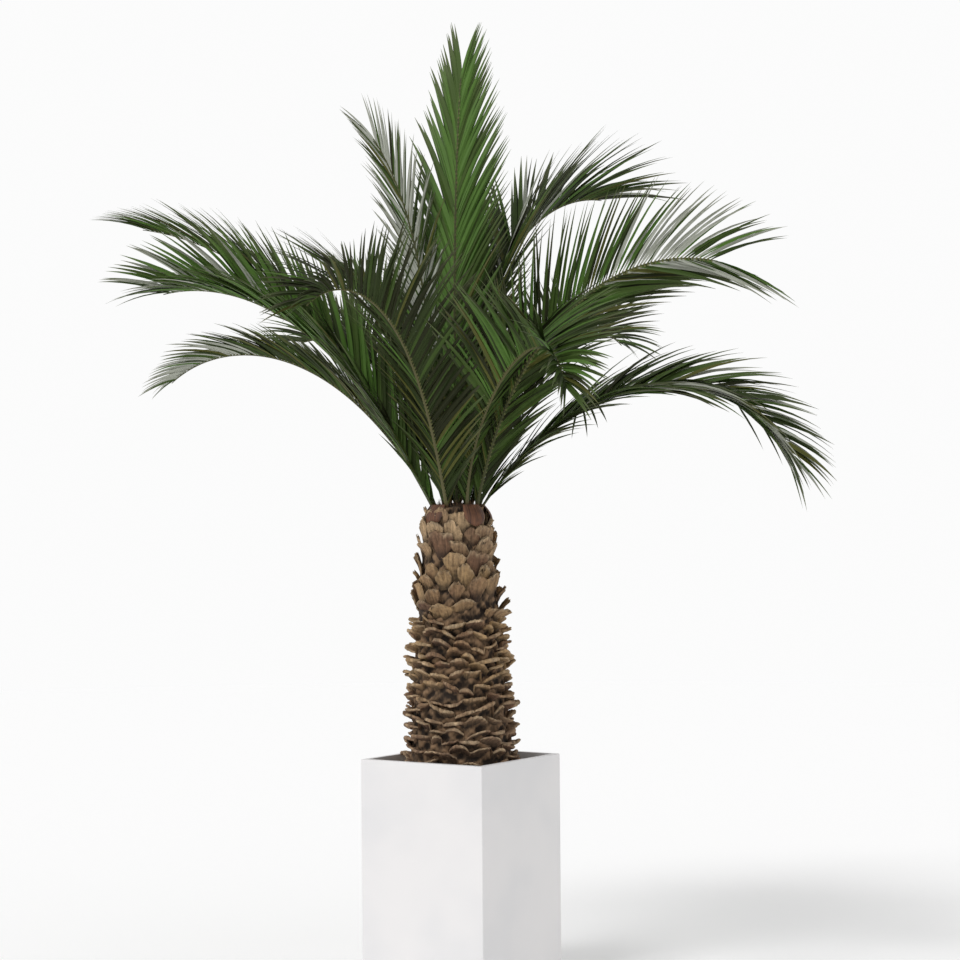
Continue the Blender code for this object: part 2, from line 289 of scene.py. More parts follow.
class Signal:
    """A number that a material's nodes work out, used as in plain arithmetic."""

    def __init__(self, shading: "Shading", socket: bpy.types.NodeSocket) -> None:
        """Wraps a node's output."""
        self.shading = shading
        self.socket = socket

    def _sum(self, operation: str, other: "Signal | float") -> "Signal":
        """The result of one arithmetic node."""
        node = self.shading.node("ShaderNodeMath", {"operation": operation}, {0: self, 1: other})
        return Signal(self.shading, node.outputs[0])

    def __add__(self, other: "Signal | float") -> "Signal":
        """Sum."""
        return self._sum("ADD", other)

    def __mul__(self, other: "Signal | float") -> "Signal":
        """Product."""
        return self._sum("MULTIPLY", other)

    __radd__ = __add__
    __rmul__ = __mul__

    def rise(self, low: float, high: float) -> "Signal":
        """A smooth rise from 0 to 1.

        Args:
            low: the value at which it starts.
            high: the value at which it ends.

        Returns:
            The risen signal.
        """
        node = self.shading.node("ShaderNodeMapRange", {"interpolation_type": "SMOOTHSTEP"},
                                 {"Value": self, "From Min": low, "From Max": high})
        return Signal(self.shading, node.outputs["Result"])


class Shading:
    """A material under construction."""

    def __init__(self, name: str) -> None:
        """Starts with a bare shader.

        Args:
            name: the material's name.
        """
        self.material = bpy.data.materials.new(name)
        self.material.use_nodes = True
        self.tree = self.material.node_tree
        self.shader = self.tree.nodes["Principled BSDF"]

    def node(self, kind: str, settings: dict | None = None, sockets: dict | None = None) -> bpy.types.Node:
        """Adds a node.

        Args:
            kind: the node's type.
            settings: its own settings, set first.
            sockets: a value or a link for each socket that is used.

        Returns:
            The node.
        """
        made = self.tree.nodes.new(kind)
        for key, value in (settings or {}).items():
            setattr(made, key, value)
        for key, value in (sockets or {}).items():
            self.feed(made.inputs[key], value)
        return made

    def feed(self, socket: bpy.types.NodeSocket, value: object) -> None:
        """Links a socket, or sets its value.

        Args:
            socket: the input.
            value: a signal, an output, a colour or a number.
        """
        if isinstance(value, Signal):
            self.tree.links.new(value.socket, socket)
        elif isinstance(value, bpy.types.NodeSocket):
            self.tree.links.new(value, socket)
        elif isinstance(value, tuple) and len(value) == 3 and socket.type == "RGBA":
            socket.default_value = (*value, 1.0)
        else:
            socket.default_value = value

    def place(self) -> bpy.types.NodeSocket:
        """The place on the object."""
        return self.node("ShaderNodeTexCoord").outputs["Object"]

    def pattern(self) -> bpy.types.NodeSocket:
        """The piece's own pattern coordinates."""
        return self.node("ShaderNodeUVMap", {"uv_map": "pattern"}).outputs["UV"]

    def mark(self, name: str) -> Signal:
        """A mark that the piece carries."""
        return Signal(self, self.node("ShaderNodeAttribute", {"attribute_name": name}).outputs["Fac"])

    def height(self) -> Signal:
        """Height above the floor."""
        return Signal(self, self.node("ShaderNodeSeparateXYZ", sockets={0: self.place()}).outputs["Z"])

    def noise(self, grain: Grain) -> Signal:
        """Soft noise of 0 to 1.

        Args:
            grain: its waves, its detail and what it follows.

        Returns:
            The noise.
        """
        at = self.pattern() if grain.on_pattern else self.place()
        scaled = self.node("ShaderNodeVectorMath", {"operation": "MULTIPLY"}, {0: at, 1: grain.waves})
        made = self.node("ShaderNodeTexNoise",
                         sockets={"Vector": scaled.outputs[0], "Scale": 1.0, "Detail": grain.detail})
        return Signal(self, made.outputs["Fac"])

    def mixed(self, first: object, second: object, share: Signal) -> bpy.types.NodeSocket:
        """A colour that lies a share of the way from the first to the second."""
        made = self.node("ShaderNodeMix", {"data_type": "RGBA"}, {0: share, 6: first, 7: second})
        return made.outputs[2]

    def shaded(self, colour: object, level: Signal) -> bpy.types.NodeSocket:
        """A colour made darker or lighter by a signal."""
        scaled = self.node("ShaderNodeVectorMath", {"operation": "SCALE"}, {0: colour, "Scale": level})
        return scaled.outputs[0]

    def bump(self, height: Signal, strength: float, depth: float) -> bpy.types.NodeSocket:
        """A surface direction from a relief of 0 to 1 that is depth high."""
        sockets = {"Strength": strength, "Distance": depth, "Height": height}
        return self.node("ShaderNodeBump", sockets=sockets).outputs["Normal"]

    def finished(self, **inputs: object) -> bpy.types.Material:
        """Feeds the shader.

        Args:
            inputs: what goes to each of its sockets, whose names have _ for a space.

        Returns:
            The material.
        """
        for key, value in inputs.items():
            self.feed(self.shader.inputs[key.replace("_", " ")], value)
        return self.material


@dataclass(frozen=True)
class LeafFinish:
    """A green leaflet: a plain colour, pale at its root and greyer to its tip, with long veins."""

    name: str
    colour: Colour
    gloss: float = 0.14
    roughness: float = 0.46
    root: Colour = linear(104, 106, 66)
    dry: Colour = linear(118, 121, 92)
    dryness: float = 0.42
    mottle: Grain = Grain.even(14.0)
    veins: Grain = Grain((900.0, 9.0, 1.0), 1.0, on_pattern=True)

    def make(self) -> bpy.types.Material:
        """Lays out the nodes.

        Returns:
            The material.
        """
        shading = Shading(self.name)
        mottle = shading.noise(self.mottle)
        veins = shading.noise(self.veins)
        run = shading.mark("run")
        blade = shading.shaded(self.colour, 0.66 + 0.40 * mottle + 0.30 * veins)
        tipped = shading.mixed(blade, self.dry, run.rise(0.45, 1.0) * self.dryness)
        colour = shading.mixed(self.root, tipped, run.rise(0.008, 0.026))
        return shading.finished(Base_Color=colour, Roughness=self.roughness + 0.16 * mottle,
                                Specular_IOR_Level=self.gloss, Normal=shading.bump(veins, 0.25, 0.0006))


@dataclass(frozen=True)
class RibFinish:
    """A frond's rib: olive, paler where it is marked so, tan towards its foot."""

    name: str = "rib_olive"
    green: Colour = linear(56, 64, 34)
    tan: Colour = linear(122, 112, 76)
    foot: Colour = linear(84, 58, 36)
    gloss: float = 0.25
    grain: Grain = Grain((260.0, 7.0, 1.0), 3.0, on_pattern=True)
    mottle: Grain = Grain.even(9.0)

    def make(self) -> bpy.types.Material:
        """Lays out the nodes.

        Returns:
            The material.
        """
        shading = Shading(self.name)
        grain = shading.noise(self.grain)
        mottle = shading.noise(self.mottle)
        stalk = shading.mixed(self.green, self.tan, shading.mark("pale"))
        whole = shading.mixed(self.foot, stalk, shading.mark("run").rise(0.002, 0.022))
        colour = shading.shaded(whole, 0.66 + 0.36 * grain + 0.30 * mottle)
        return shading.finished(Base_Color=colour, Roughness=0.44 + 0.18 * grain,
                                Specular_IOR_Level=self.gloss, Normal=shading.bump(grain, 0.35, 0.0012))


@dataclass(frozen=True)
class BootFinish:
    """An old leaf boot: dry fibrous tissue, grey-brown low on the trunk and pale tan under the crown, with
    painted shade towards its roots and paler worn lips that are partly a painted highlight.
    """

    name: str = "boot_fibrous"
    low: Colour = linear(144, 117, 93)
    middle: Colour = linear(173, 142, 102)
    high: Colour = linear(192, 162, 125)
    stain: Colour = linear(108, 80, 60)
    # Paler colour of worn lips, partly a painted highlight
    rim: Colour = linear(184, 160, 128)
    low_height: float = 0.86
    middle_height: float = 1.15
    dark_height: float = 1.43
    high_height: float = 1.60
    fibres: Grain = Grain((620.0, 22.0, 1.0), 4.0, on_pattern=True)
    strands: Grain = Grain((110.0, 16.0, 1.0), 4.0, on_pattern=True)
    blotch: Grain = Grain.even(16.0, 3.0)
    crumb: Grain = Grain.even(95.0, 3.0)

    def make(self) -> bpy.types.Material:
        """Lays out the nodes.

        Returns:
            The material.
        """
        shading = Shading(self.name)
        height = shading.height()
        tone = shading.mark("tone")
        fibres = shading.noise(self.fibres)
        strands = shading.noise(self.strands)
        blotch = shading.noise(self.blotch)
        crumb = shading.noise(self.crumb)
        lower = shading.mixed(self.low, self.middle, height.rise(self.low_height, self.middle_height))
        dry = shading.mixed(lower, self.high, height.rise(self.dark_height, self.high_height))
        stained = shading.mixed(dry, self.stain, (0.75 * tone + 0.55 * blotch).rise(0.50, 1.05))
        # Paler worn lips near the torn edge, partly worn tissue and partly a painted highlight where the lips
        # catch the light
        rubbed_and_highlit = shading.mark("edge").rise(0.50, 1.0) * blotch.rise(0.35, 0.70)
        worn_and_highlit = shading.mixed(stained, self.rim, rubbed_and_highlit)
        grain = 0.10 + 0.55 * fibres + 0.65 * strands.rise(0.28, 0.72) + 0.40 * crumb.rise(0.25, 0.75)
        # Painted shade: the boot is darker towards its root, where the gaps lie in shade
        open_air = 0.24 + 0.76 * shading.mark("open_air").rise(0.20, 0.85)
        colour = shading.shaded(worn_and_highlit, grain * open_air * (0.84 + 0.32 * tone))
        return shading.finished(Base_Color=colour, Roughness=0.78 + 0.2 * fibres,
                                Normal=shading.bump(fibres + strands + crumb, 0.9, 0.0035))


@dataclass(frozen=True)
class TwoToneFinish:
    """A finish of two colours, with a relief of its fine noise.

    The share of the second colour rises from 0 to 1 between two values of a sum: the fine and the coarse
    noise, each times its weight, and the piece's relief times its own. Roughness is a base plus a gain times
    each noise.
    """

    name: str
    first: Colour
    second: Colour
    fine: Grain
    coarse: Grain
    weights: tuple[float, float]
    rise: tuple[float, float]
    roughness: tuple[float, float, float]
    strength: float
    depth: float
    relief: float = 0.0

    def make(self) -> bpy.types.Material:
        """Lays out the nodes.

        Returns:
            The material.
        """
        shading = Shading(self.name)
        fine = shading.noise(self.fine)
        coarse = shading.noise(self.coarse)
        share = self.weights[0] * fine + self.weights[1] * coarse
        # Painted shade: the relief mark darkens the deep places
        if self.relief:
            share = share + self.relief * shading.mark("relief")
        base, fine_gain, coarse_gain = self.roughness
        return shading.finished(Base_Color=shading.mixed(self.first, self.second, share.rise(*self.rise)),
                                Roughness=base + fine_gain * fine + coarse_gain * coarse,
                                Normal=shading.bump(fine, self.strength, self.depth))


# The matted tissue between and behind the boots, with painted shade where it lies deep and on the dome under
# the fronds
BARK = TwoToneFinish("bark_matted", linear(38, 28, 20), linear(142, 114, 86),
                     fine=Grain((240.0, 240.0, 40.0), 4.0), coarse=Grain.even(22.0), weights=(0.4, 0.3),
                     relief=0.8, rise=(0.45, 1.25), roughness=(0.88, 0.0, 0.1), strength=0.9, depth=0.0025)

# The smooth sheath under an outer frond's foot
SHEATH = TwoToneFinish("sheath_red_brown", linear(62, 37, 25), linear(126, 84, 58),
                       fine=Grain((240.0, 10.0, 1.0), 3.0, on_pattern=True), coarse=Grain.even(30.0),
                       weights=(0.7, 0.4), rise=(0.38, 0.72), roughness=(0.50, 0.25, 0.0),
                       strength=0.4, depth=0.0012)

# Loose fibres at the trunk's top
FIBRE = TwoToneFinish("fibre_brown", linear(66, 44, 28), linear(136, 104, 70),
                      fine=Grain.even(60.0), coarse=Grain.even(60.0), weights=(1.0, 0.0),
                      rise=(0.30, 0.75), roughness=(0.80, 0.15, 0.0), strength=0.2, depth=0.0004)

# Dark damp soil, and the splinters of bark that lie on it
SOIL = TwoToneFinish("soil_dark", linear(24, 20, 17), linear(66, 56, 46),
                     fine=Grain.even(260.0, 5.0), coarse=Grain.even(18.0), weights=(0.8, 0.3),
                     rise=(0.38, 0.85), roughness=(0.86, 0.0, 0.12), strength=0.9, depth=0.0030)
CHIP = replace(SOIL, name="chip_brown", first=linear(42, 31, 23), second=linear(98, 76, 56),
               fine=Grain.even(190.0, 5.0))

# The planter's white satin lacquer, with a faint cloudiness and a fine sprayed texture
LACQUER = TwoToneFinish("planter_white_satin", linear(233, 231, 231), linear(226, 225, 226),
                        fine=Grain.even(420.0), coarse=Grain.even(3.2), weights=(0.0, 1.0),
                        rise=(0.35, 0.70), roughness=(0.36, 0.0, 0.12), strength=0.10, depth=0.0003)


@dataclass(frozen=True)
class FloorFinish:
    """The studio's pale floor."""

    name: str = "floor_pale"
    colour: Colour = (1.0, 1.0, 1.0)
    roughness: float = 0.9

    def make(self) -> bpy.types.Material:
        """The material."""
        return Shading(self.name).finished(Base_Color=self.colour, Roughness=self.roughness)


# ---------------------------------------------------------------- planter and soil


@dataclass
class Planter:
    """The square planter: its solid stays and gets its lacquer."""

    node: str = "planter"

    def dress(self) -> None:
        """Gives the planter its finish."""
        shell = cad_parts[self.node]
        shell.data.materials.clear()
        shell.data.materials.append(LACQUER.make())
        LOG.info("%s: white satin lacquer", self.node)


@dataclass
class SoilBed:
    """The bed of soil in the planter, with chips of bark on it."""

    node: str = "fill"
    steps: int = 110
    relief: float = 0.006
    mound: float = 0.010
    mound_spread: float = 0.035
    wavelengths: tuple[float, ...] = (0.30, 0.16, 0.09, 0.06, 0.04, 0.028, 0.020, 0.016)
    chips: int = 420
    chip_length: float = 0.022
    chip_sides: int = 5
    chip_rise: float = 0.003
    wall_clearance: float = 0.012
    seed: int = 5

    def __post_init__(self) -> None:
        """Reads where the fill stands."""
        self.low, self.high = (np.array(corner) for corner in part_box(self.node))
        self.rolls = np.random.default_rng(self.seed)
        self.waves = [(self.rolls.uniform(-1, 1, 2) * TURN / wavelength, self.rolls.uniform(0, TURN))
                      for wavelength in self.wavelengths]

    def level(self, x: Array, y: Array) -> Array:
        """Height of the bed: a low mound round the trunk plus cosines of falling wavelength.

        Args:
            x: place along X.
            y: place along Y.

        Returns:
            The height at each place.
        """
        swell = sum(np.cos(rate[0] * x + rate[1] * y + start) / (1 + 0.35 * index)
                    for index, (rate, start) in enumerate(self.waves))
        mound = self.mound * np.exp(-((x * x + y * y) / self.mound_spread))
        return self.high[2] - self.relief + self.relief * 0.35 * swell + mound

    def bed(self) -> Surface:
        """The bed: a grid of heights, a skirt down to the planter's floor and an underside.

        Returns:
            The surface, a closed block.
        """
        sides = np.linspace(0, 1, self.steps)
        x, y = np.meshgrid(blend(self.low[0], self.high[0], sides), blend(self.low[1], self.high[1], sides),
                           indexing="ij")
        top = np.stack([x, y, self.level(x, y)], axis=-1)
        number = np.arange(self.steps ** 2).reshape(self.steps, self.steps)
        grid = np.stack([number[:-1, :-1], number[1:, :-1], number[1:, 1:], number[:-1, 1:]], axis=-1)
        rim = np.concatenate([number[:-1, 0], number[-1, :-1], number[:0:-1, -1], number[0, :0:-1]])
        foot = top.reshape(-1, 3)[rim] * [1, 1, 0] + [0, 0, self.low[2]]
        lower = self.steps ** 2 + np.arange(len(rim))
        skirt = np.stack([lower, np.roll(lower, -1), np.roll(rim, -1), rim], axis=-1)
        points = np.concatenate([top.reshape(-1, 3), foot])
        return Surface().add(points, points[:, :2], [grid.reshape(-1, 4), skirt, lower[None, ::-1]])

    def chip_shapes(self) -> Surface:
        """Flat splinters of bark: tubes of three rings, tapered at both ends and laid at random.

        A point is the splinter's middle, plus its run along it, plus its girth across it on each side.

        Returns:
            The surface.
        """
        half = (self.high[0] - self.low[0]) / 2 - self.wall_clearance
        x, y = self.rolls.uniform(-half, half, (2, self.chips))
        length = self.chip_length * self.rolls.uniform(0.5, 1.5, self.chips)
        turn = self.rolls.uniform(0, TURN, self.chips)
        tilt = self.rolls.normal(0, 0.25, self.chips)
        along = np.stack([np.cos(turn) * np.cos(tilt), np.sin(turn) * np.cos(tilt), np.sin(tilt)], axis=-1)
        level = np.stack([-np.sin(turn), np.cos(turn), np.zeros(self.chips)], axis=-1)
        upright = np.cross(along, level)
        inner = half - length * 0.5
        middle = np.stack([np.clip(x, -inner, inner), np.clip(y, -inner, inner),
                           self.level(x, y) + self.chip_rise], axis=-1)
        run = np.array([-0.5, 0.0, 0.5])
        girth = np.array([0.45, 1.0, 0.35])
        angle = np.arange(self.chip_sides) * TURN / self.chip_sides
        width = (length * self.rolls.uniform(0.15, 0.35, self.chips))[:, None, None, None]
        spread = girth[None, :, None, None] * width
        points = (middle[:, None, None] + along[:, None, None] * (length[:, None] * run)[:, :, None, None]
                  + level[:, None, None] * np.cos(angle)[None, None, :, None] * spread
                  + upright[:, None, None] * np.sin(angle)[None, None, :, None] * spread * 0.45)
        return Surface().add(points, points[..., :2], tube_faces(self.chips, len(run), self.chip_sides))

    def build(self) -> None:
        """Makes the bed and its chips."""
        self.bed().piece("soil_bed", SOIL.make(), "planting_fill", [self.node])
        self.chip_shapes().piece("bark_chips", CHIP.make(), "planting_fill", [self.node], crease=20.0)


# ---------------------------------------------------------------- trunk


@dataclass
class Trunk:
    """The trunk: a dark core, ragged shelves and upright scales in rows round it, and loose fibre on top.

    The ends of the change from shelves to scales, and the last row, are shares of the trunk's height. The
    reach and the rise of the scales are those of the lowest and of the highest.
    """

    node: str = "trunk"
    foot_radius: float = 0.176
    waist_radius: float = 0.152
    top_radius: float = 0.094
    flare_height: float = 0.13
    taper_power: float = 1.9
    lean: float = 0.008
    lean_bearing: float = 213.0
    cladding: float = 0.012
    cladding_end: float = 0.87
    core_sink: float = 0.005
    core_relief: float = 0.0035
    core_depth: float = 0.012
    dome_height: float = 0.016
    around: int = 240
    upward: int = 190
    root_depth: float = 0.009
    change_start: float = 0.49
    change_end: float = 0.68
    last_row: float = 0.91
    shelf_pitch: float = 0.036
    shelf_reach: float = 0.036
    shelf_rise: float = 0.026
    shelf_thickness: float = 0.0048
    shelf_stub: float = 0.005
    shelf_swelling: float = 0.0038
    shelf_wrinkle: float = 0.0011
    shelf_around: int = 336
    lobes_per_row: int = 16
    shelves_end: float = 0.40
    scale_pitch: float = 0.048
    scale_reach: tuple[float, float] = (0.036, 0.022)
    scale_rise: tuple[float, float] = (0.042, 0.084)
    scale_thickness: float = 0.012
    scale_boldness: float = 0.013
    scale_bold_share: float = 0.20
    scale_wave: float = 0.003
    scale_ridge: float = 0.0020
    scale_lump: float = 0.0014
    scale_drop: float = 0.011
    scale_overlap: float = 1.20
    scales_per_row: int = 11
    flush_depth: float = 0.13
    sheath_bearings: tuple[float, ...] = (256.0, 338.0, 50.0, 115.0, 180.0)
    sheath_half_turn: float = 0.42
    sheath_depth: float = 0.064
    sheath_height: float = 0.074
    sheath_thickness: float = 0.008
    sheath_bulge: float = 0.010
    sheath_stand: float = 0.012
    sheath_lean: float = 0.016
    fibre_count: int = 300
    fibre_radius: float = 0.0011
    fibre_length: tuple[float, float] = (0.014, 0.038)
    fibre_seat: float = 0.004
    seed: int = 11
    rows: list[float] = field(default_factory=list)

    def __post_init__(self) -> None:
        """Reads the trunk's two ends and sets out its rows."""
        low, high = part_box(self.node)
        self.foot, self.top = low.z, high.z
        self.rolls = np.random.default_rng(self.seed)
        height = self.foot
        while self.share(height) < self.last_row:
            self.rows.append(height)
            height += blend(self.shelf_pitch, self.scale_pitch, self.maturity(height))

    def share(self, height: float | Array) -> float | Array:
        """How far up the trunk a height lies, from 0 to 1."""
        return (height - self.foot) / (self.top - self.foot)

    def maturity(self, height: float | Array) -> float | Array:
        """0 where boots are flat shelves and 1 where they are upright scales."""
        return smooth_step((self.share(height) - self.change_start) / (self.change_end - self.change_start))

    def radius(self, height: float | Array) -> float | Array:
        """Radius under the boots.

        It is a taper that steepens to the top, a flare that dies away from the foot, and the thickness of the
        cladding, which ends below the top.

        Args:
            height: height above the floor.

        Returns:
            The radius at each height.
        """
        share = np.clip(self.share(height), 0.0, 1.0)
        above = share * (self.top - self.foot)
        taper = blend(self.waist_radius, self.top_radius, share ** self.taper_power)
        flare = (self.foot_radius - self.waist_radius) * np.exp(-above / self.flare_height)
        cladding = self.cladding * (1 - smooth_step((share - self.cladding_end) / (1 - self.cladding_end)))
        return taper + flare + cladding

    def around_axis(self, angle: Array, radius: Array, height: Array) -> Array:
        """Points at an angle, a distance from the leaning axis and a height.

        Args:
            angle: bearing round the axis, in radians.
            radius: distance from the axis.
            height: height above the floor.

        Returns:
            The points.
        """
        bearing = math.radians(self.lean_bearing)
        shift = self.lean * self.share(height)
        return np.stack([shift * math.cos(bearing) + radius * np.cos(angle),
                         shift * math.sin(bearing) + radius * np.sin(angle),
                         height + 0 * angle], axis=-1)

    def core(self) -> Surface:
        """The core: rings of the trunk's radius, less a margin, with matted relief, under a low dome.

        Returns:
            The surface, marked with its relief, which the bark paints as shade in the deep places and on the
            dome.
        """
        angle = np.linspace(0, TURN, self.around, endpoint=False)[None, :]
        height = np.linspace(self.foot - self.core_depth, self.top, self.upward)[:, None]
        coarse = ripple(angle, height, self.rolls, 22, 0.030, 26)
        relief = coarse + 0.45 * ripple(angle, height, self.rolls, 60, 0.018)
        radius = self.radius(height) - self.core_sink + np.clip(relief, -2, 2) * self.core_relief
        rings = self.around_axis(angle, radius, height)
        dome = np.array([0.97, 0.88, 0.70, 0.45, 0.15])[:, None]
        rumple = ripple(angle, dome, self.rolls, 12, 0.4) * 0.002 * dome
        level = self.top + self.dome_height * (1 - dome ** 2) + rumple
        span = (self.top_radius - self.core_sink + relief[-1:] * self.core_relief) * dome
        crown = self.around_axis(angle, span, level)
        points = np.concatenate([rings, crown])
        # Painted shade: low relief values darken the bark in the deep places and on the dome under the fronds
        depth = np.concatenate([0.5 + relief * 0.35, np.full(crown.shape[:2], 0.3)])
        return Surface().add(points, together(angle * 0.15, points[..., 2]),
                             tube_faces(1, len(points), self.around), relief=depth)

    def curled(self, angle: Array, height: Array, run: Array, offset: Array,
               growth: tuple[Array, ...]) -> Array:
        """Points on slabs that grow out of the core, curl and end in a lip.

        Args:
            angle: bearing round the axis.
            height: height of the root.
            run: share of the way from root to lip.
            offset: distance out of the slab's middle.
            growth: what the radius gains by the lip and the power of run that it follows, and the same for
                the height.

        Returns:
            The points.
        """
        reach, out_power, rise, up_power = growth
        level = height + rise * run ** up_power
        radius = self.radius(level) - self.root_depth * (1 - run) + reach * run ** out_power
        held = np.maximum(run, 0.05)
        slope = rise * up_power * held ** (up_power - 1)
        outward = reach * out_power * held ** (out_power - 1)
        size = np.hypot(slope, outward)
        return self.around_axis(angle, radius - offset * slope / size, level + offset * outward / size)

    def shelves(self) -> Surface:
        """The shelves: a closed frill for each row, cut into lobes of uneven width, one for each old boot.

        Its reach is full in the middle of a lobe and falls away to the sides by a power of the distance. Its
        lip is swollen there and torn by short waves. Each lobe lies at a lift and a tilt of its own, and the
        rows wander together in long waves.

        Returns:
            The surface, marked with a painted light level that puts painted shade at its roots and on its
            rear face, how near its torn edge is, and a tone.
        """
        rolls = self.rolls
        rows = np.array([height for height in self.rows if self.maturity(height) < self.shelves_end])[:, None]
        count, lobes = len(rows), self.lobes_per_row
        angle = np.linspace(0, TURN, self.shelf_around, endpoint=False)[None, :]
        cuts = np.arange(lobes) + rolls.uniform(-0.34, 0.34, (count, lobes))
        steps = (angle / TURN * lobes - cuts[:, :1] + rolls.uniform(0, lobes, (count, 1))) % lobes
        knots = np.concatenate([cuts - cuts[:, :1], np.full((count, 1), lobes)], axis=1)
        place = np.stack([np.interp(step, knot, np.arange(lobes + 1)) for step, knot in zip(steps, knots)])
        lobe = np.minimum(place.astype(int), lobes - 1)
        side = 2 * (place - lobe) - 1

        def per_lobe(low: float, high: float) -> Array:
            """A random value for each lobe, laid out over its points."""
            return np.take_along_axis(rolls.uniform(low, high, (count, lobes)), lobe, axis=1)[..., None]

        tear = np.abs(ripple(angle, rows, rolls, 48, 0.010, 30))[..., None]
        wander = ripple(angle, rows, rolls, 5, 0.30)[..., None]
        side = side[..., None]
        full = 1 - np.abs(side) ** per_lobe(1.6, 3.6)
        reach = self.shelf_reach * per_lobe(0.50, 1.20) * full * (1 - 0.20 * tear) + self.shelf_stub
        rise = self.shelf_rise * per_lobe(0.45, 1.35) * (1 - 0.35 * side ** 2) * (1 - 0.08 * tear)
        sag = per_lobe(-0.012, 0.014) * side ** 2
        lift = per_lobe(-0.010, 0.010) + per_lobe(-0.014, 0.014) * side + sag + 0.008 * wander
        run = np.array([0.0, 0.40, 0.66, 0.84, 0.96, 1.0, 0.96, 0.84, 0.66, 0.40, 0.0])
        face = np.repeat([1.0, 0.0, -1.0], [5, 1, 5])
        section = run[None, None, :]
        wrinkle = ripple(angle[..., None], rows[..., None] + 0.05 * section, rolls, 150, 0.012, 30)
        swelling = np.exp(-((section - 0.84) / 0.20) ** 2) * full * per_lobe(0.1, 1.4)
        half_thickness = self.shelf_thickness / 2 + self.shelf_swelling * swelling
        offset = face * half_thickness + self.shelf_wrinkle * wrinkle
        height = np.maximum(rows[..., None] + lift, self.foot)
        growth = (reach, per_lobe(1.3, 2.3), rise, 0.80)
        points = self.curled(angle[..., None], height, section, offset, growth)
        own = np.arange(count)[:, None, None] * PATTERN_STEP
        pattern = together(angle[..., None] * 0.16 + own, 0.035 * section + own)
        # Painted shade: darker towards each shelf's root and on its rear face
        return Surface().add(points, pattern, [side_faces(count, self.shelf_around, len(run), looped=True)],
                             open_air=0.22 + section * (0.72 + 0.06 * face), edge=section ** 4,
                             tone=per_lobe(0.0, 1.0))

    def scale_places(self) -> tuple[Array, Array]:
        """Sets out the scales, each row turned half a scale from the row below.

        Returns:
            The angle and the height of every scale's root.
        """
        turn = TURN / self.scales_per_row
        angles, heights = [], []
        for row, height in enumerate(self.rows):
            if self.maturity(height) < self.shelves_end:
                continue
            shift = 0.5 * (row % 2) + self.rolls.uniform(-0.24, 0.24, self.scales_per_row)
            angles.append((np.arange(self.scales_per_row) + shift) * turn)
            heights.append(height + self.rolls.uniform(-0.36, 0.36, self.scales_per_row) * self.scale_pitch)
        return np.concatenate(angles), np.maximum(np.concatenate(heights), self.foot)

    def scales(self) -> Surface:
        """The scales: closed slabs that stand up, overlap like shingles and lean out at the top.

        A scale widens from a narrow root, so that dark gaps run to a point between its foot and its
        neighbours'. It ends in a blunt arch whose edge is torn, and its thickness falls towards the top and
        the sides. Near the trunk's top it leans out less, and it ends at the top.

        Returns:
            The surface, marked with a painted light level that puts painted shade at its roots and sides, how
            near its torn edge is, and a tone.
        """
        angle, height = self.scale_places()
        count = len(angle)
        rolls = self.rolls

        def per_scale(low: float, high: float) -> Array:
            """A random value for each scale, laid out over its rings and points."""
            return rolls.uniform(low, high, count)[:, None, None]

        side, face = slab_ring(15)
        run = np.array([0.0, 0.22, 0.44, 0.64, 0.80, 0.92, 1.0])[None, :, None]
        mature = self.maturity(height)[:, None, None]
        notches = sum(per_scale(0.2, 1.0) * np.sin(side * rate + per_scale(0, 6.3))
                      for rate in (2.5, 9.0, 19.0))
        arch = per_scale(0.06, 0.50) * np.abs(side + per_scale(-0.3, 0.3)) ** per_scale(1.8, 3.4)
        along = run * np.clip(1 - arch - np.abs(0.07 * notches), 0.2, 1)
        half_turn = math.pi / self.scales_per_row * self.scale_overlap * per_scale(0.62, 1.22)
        width = half_turn * blend(per_scale(0.30, 0.65), 1.0, smooth_step(along / per_scale(0.5, 0.9)))
        ground = self.radius(height)[:, None, None]
        bold = (per_scale(0, 1) < self.scale_bold_share) * self.scale_boldness
        under_top = (self.top - height)[:, None, None]
        reach = blend(*self.scale_reach, mature) * per_scale(0.55, 1.30) + bold
        reach = reach * smooth_step(under_top / self.flush_depth)
        rise = np.minimum(blend(*self.scale_rise, mature) * per_scale(0.60, 1.30), under_top + 0.006)
        lean = rolls.normal(0, 0.16, count)[:, None, None] * side * width * ground
        wave = self.scale_wave * per_scale(0.3, 1.5) * np.sin(side * 3.6 + per_scale(0, 6.3)) * along
        ridge = self.scale_ridge * np.sin(side * per_scale(14, 26) + per_scale(0, 6.3)) * along
        lump = self.scale_lump * ripple(side * 2.4 + per_scale(0, 6.3), along + per_scale(0, 9), rolls,
                                        4, 0.5)
        rounding = np.sqrt(np.clip(1 - side ** 2, 0, 1))
        thick = self.scale_thickness / 2 * per_scale(0.6, 1.4) * (1 - 0.45 * along) * rounding
        growth = (reach, blend(1.3, 1.9, mature), rise, 1.0)
        drop = self.scale_drop * side ** 2 * along
        points = self.curled(angle[:, None, None] + side * width, height[:, None, None] + lean + wave,
                             along, face * thick + ridge + lump - drop, growth)
        own = np.arange(count)[:, None, None] * PATTERN_STEP
        # Painted shade: darker towards each scale's root and at its sides, between the plates
        open_air = (0.22 + 0.74 * smooth_step(along / 0.7)) * (1 - 0.45 * side ** 6)
        return Surface().add(points, together(side * width * ground + own, rise * along + own),
                             tube_faces(count, run.size, side.size), open_air=open_air, edge=run ** 3,
                             tone=per_scale(0, 1))

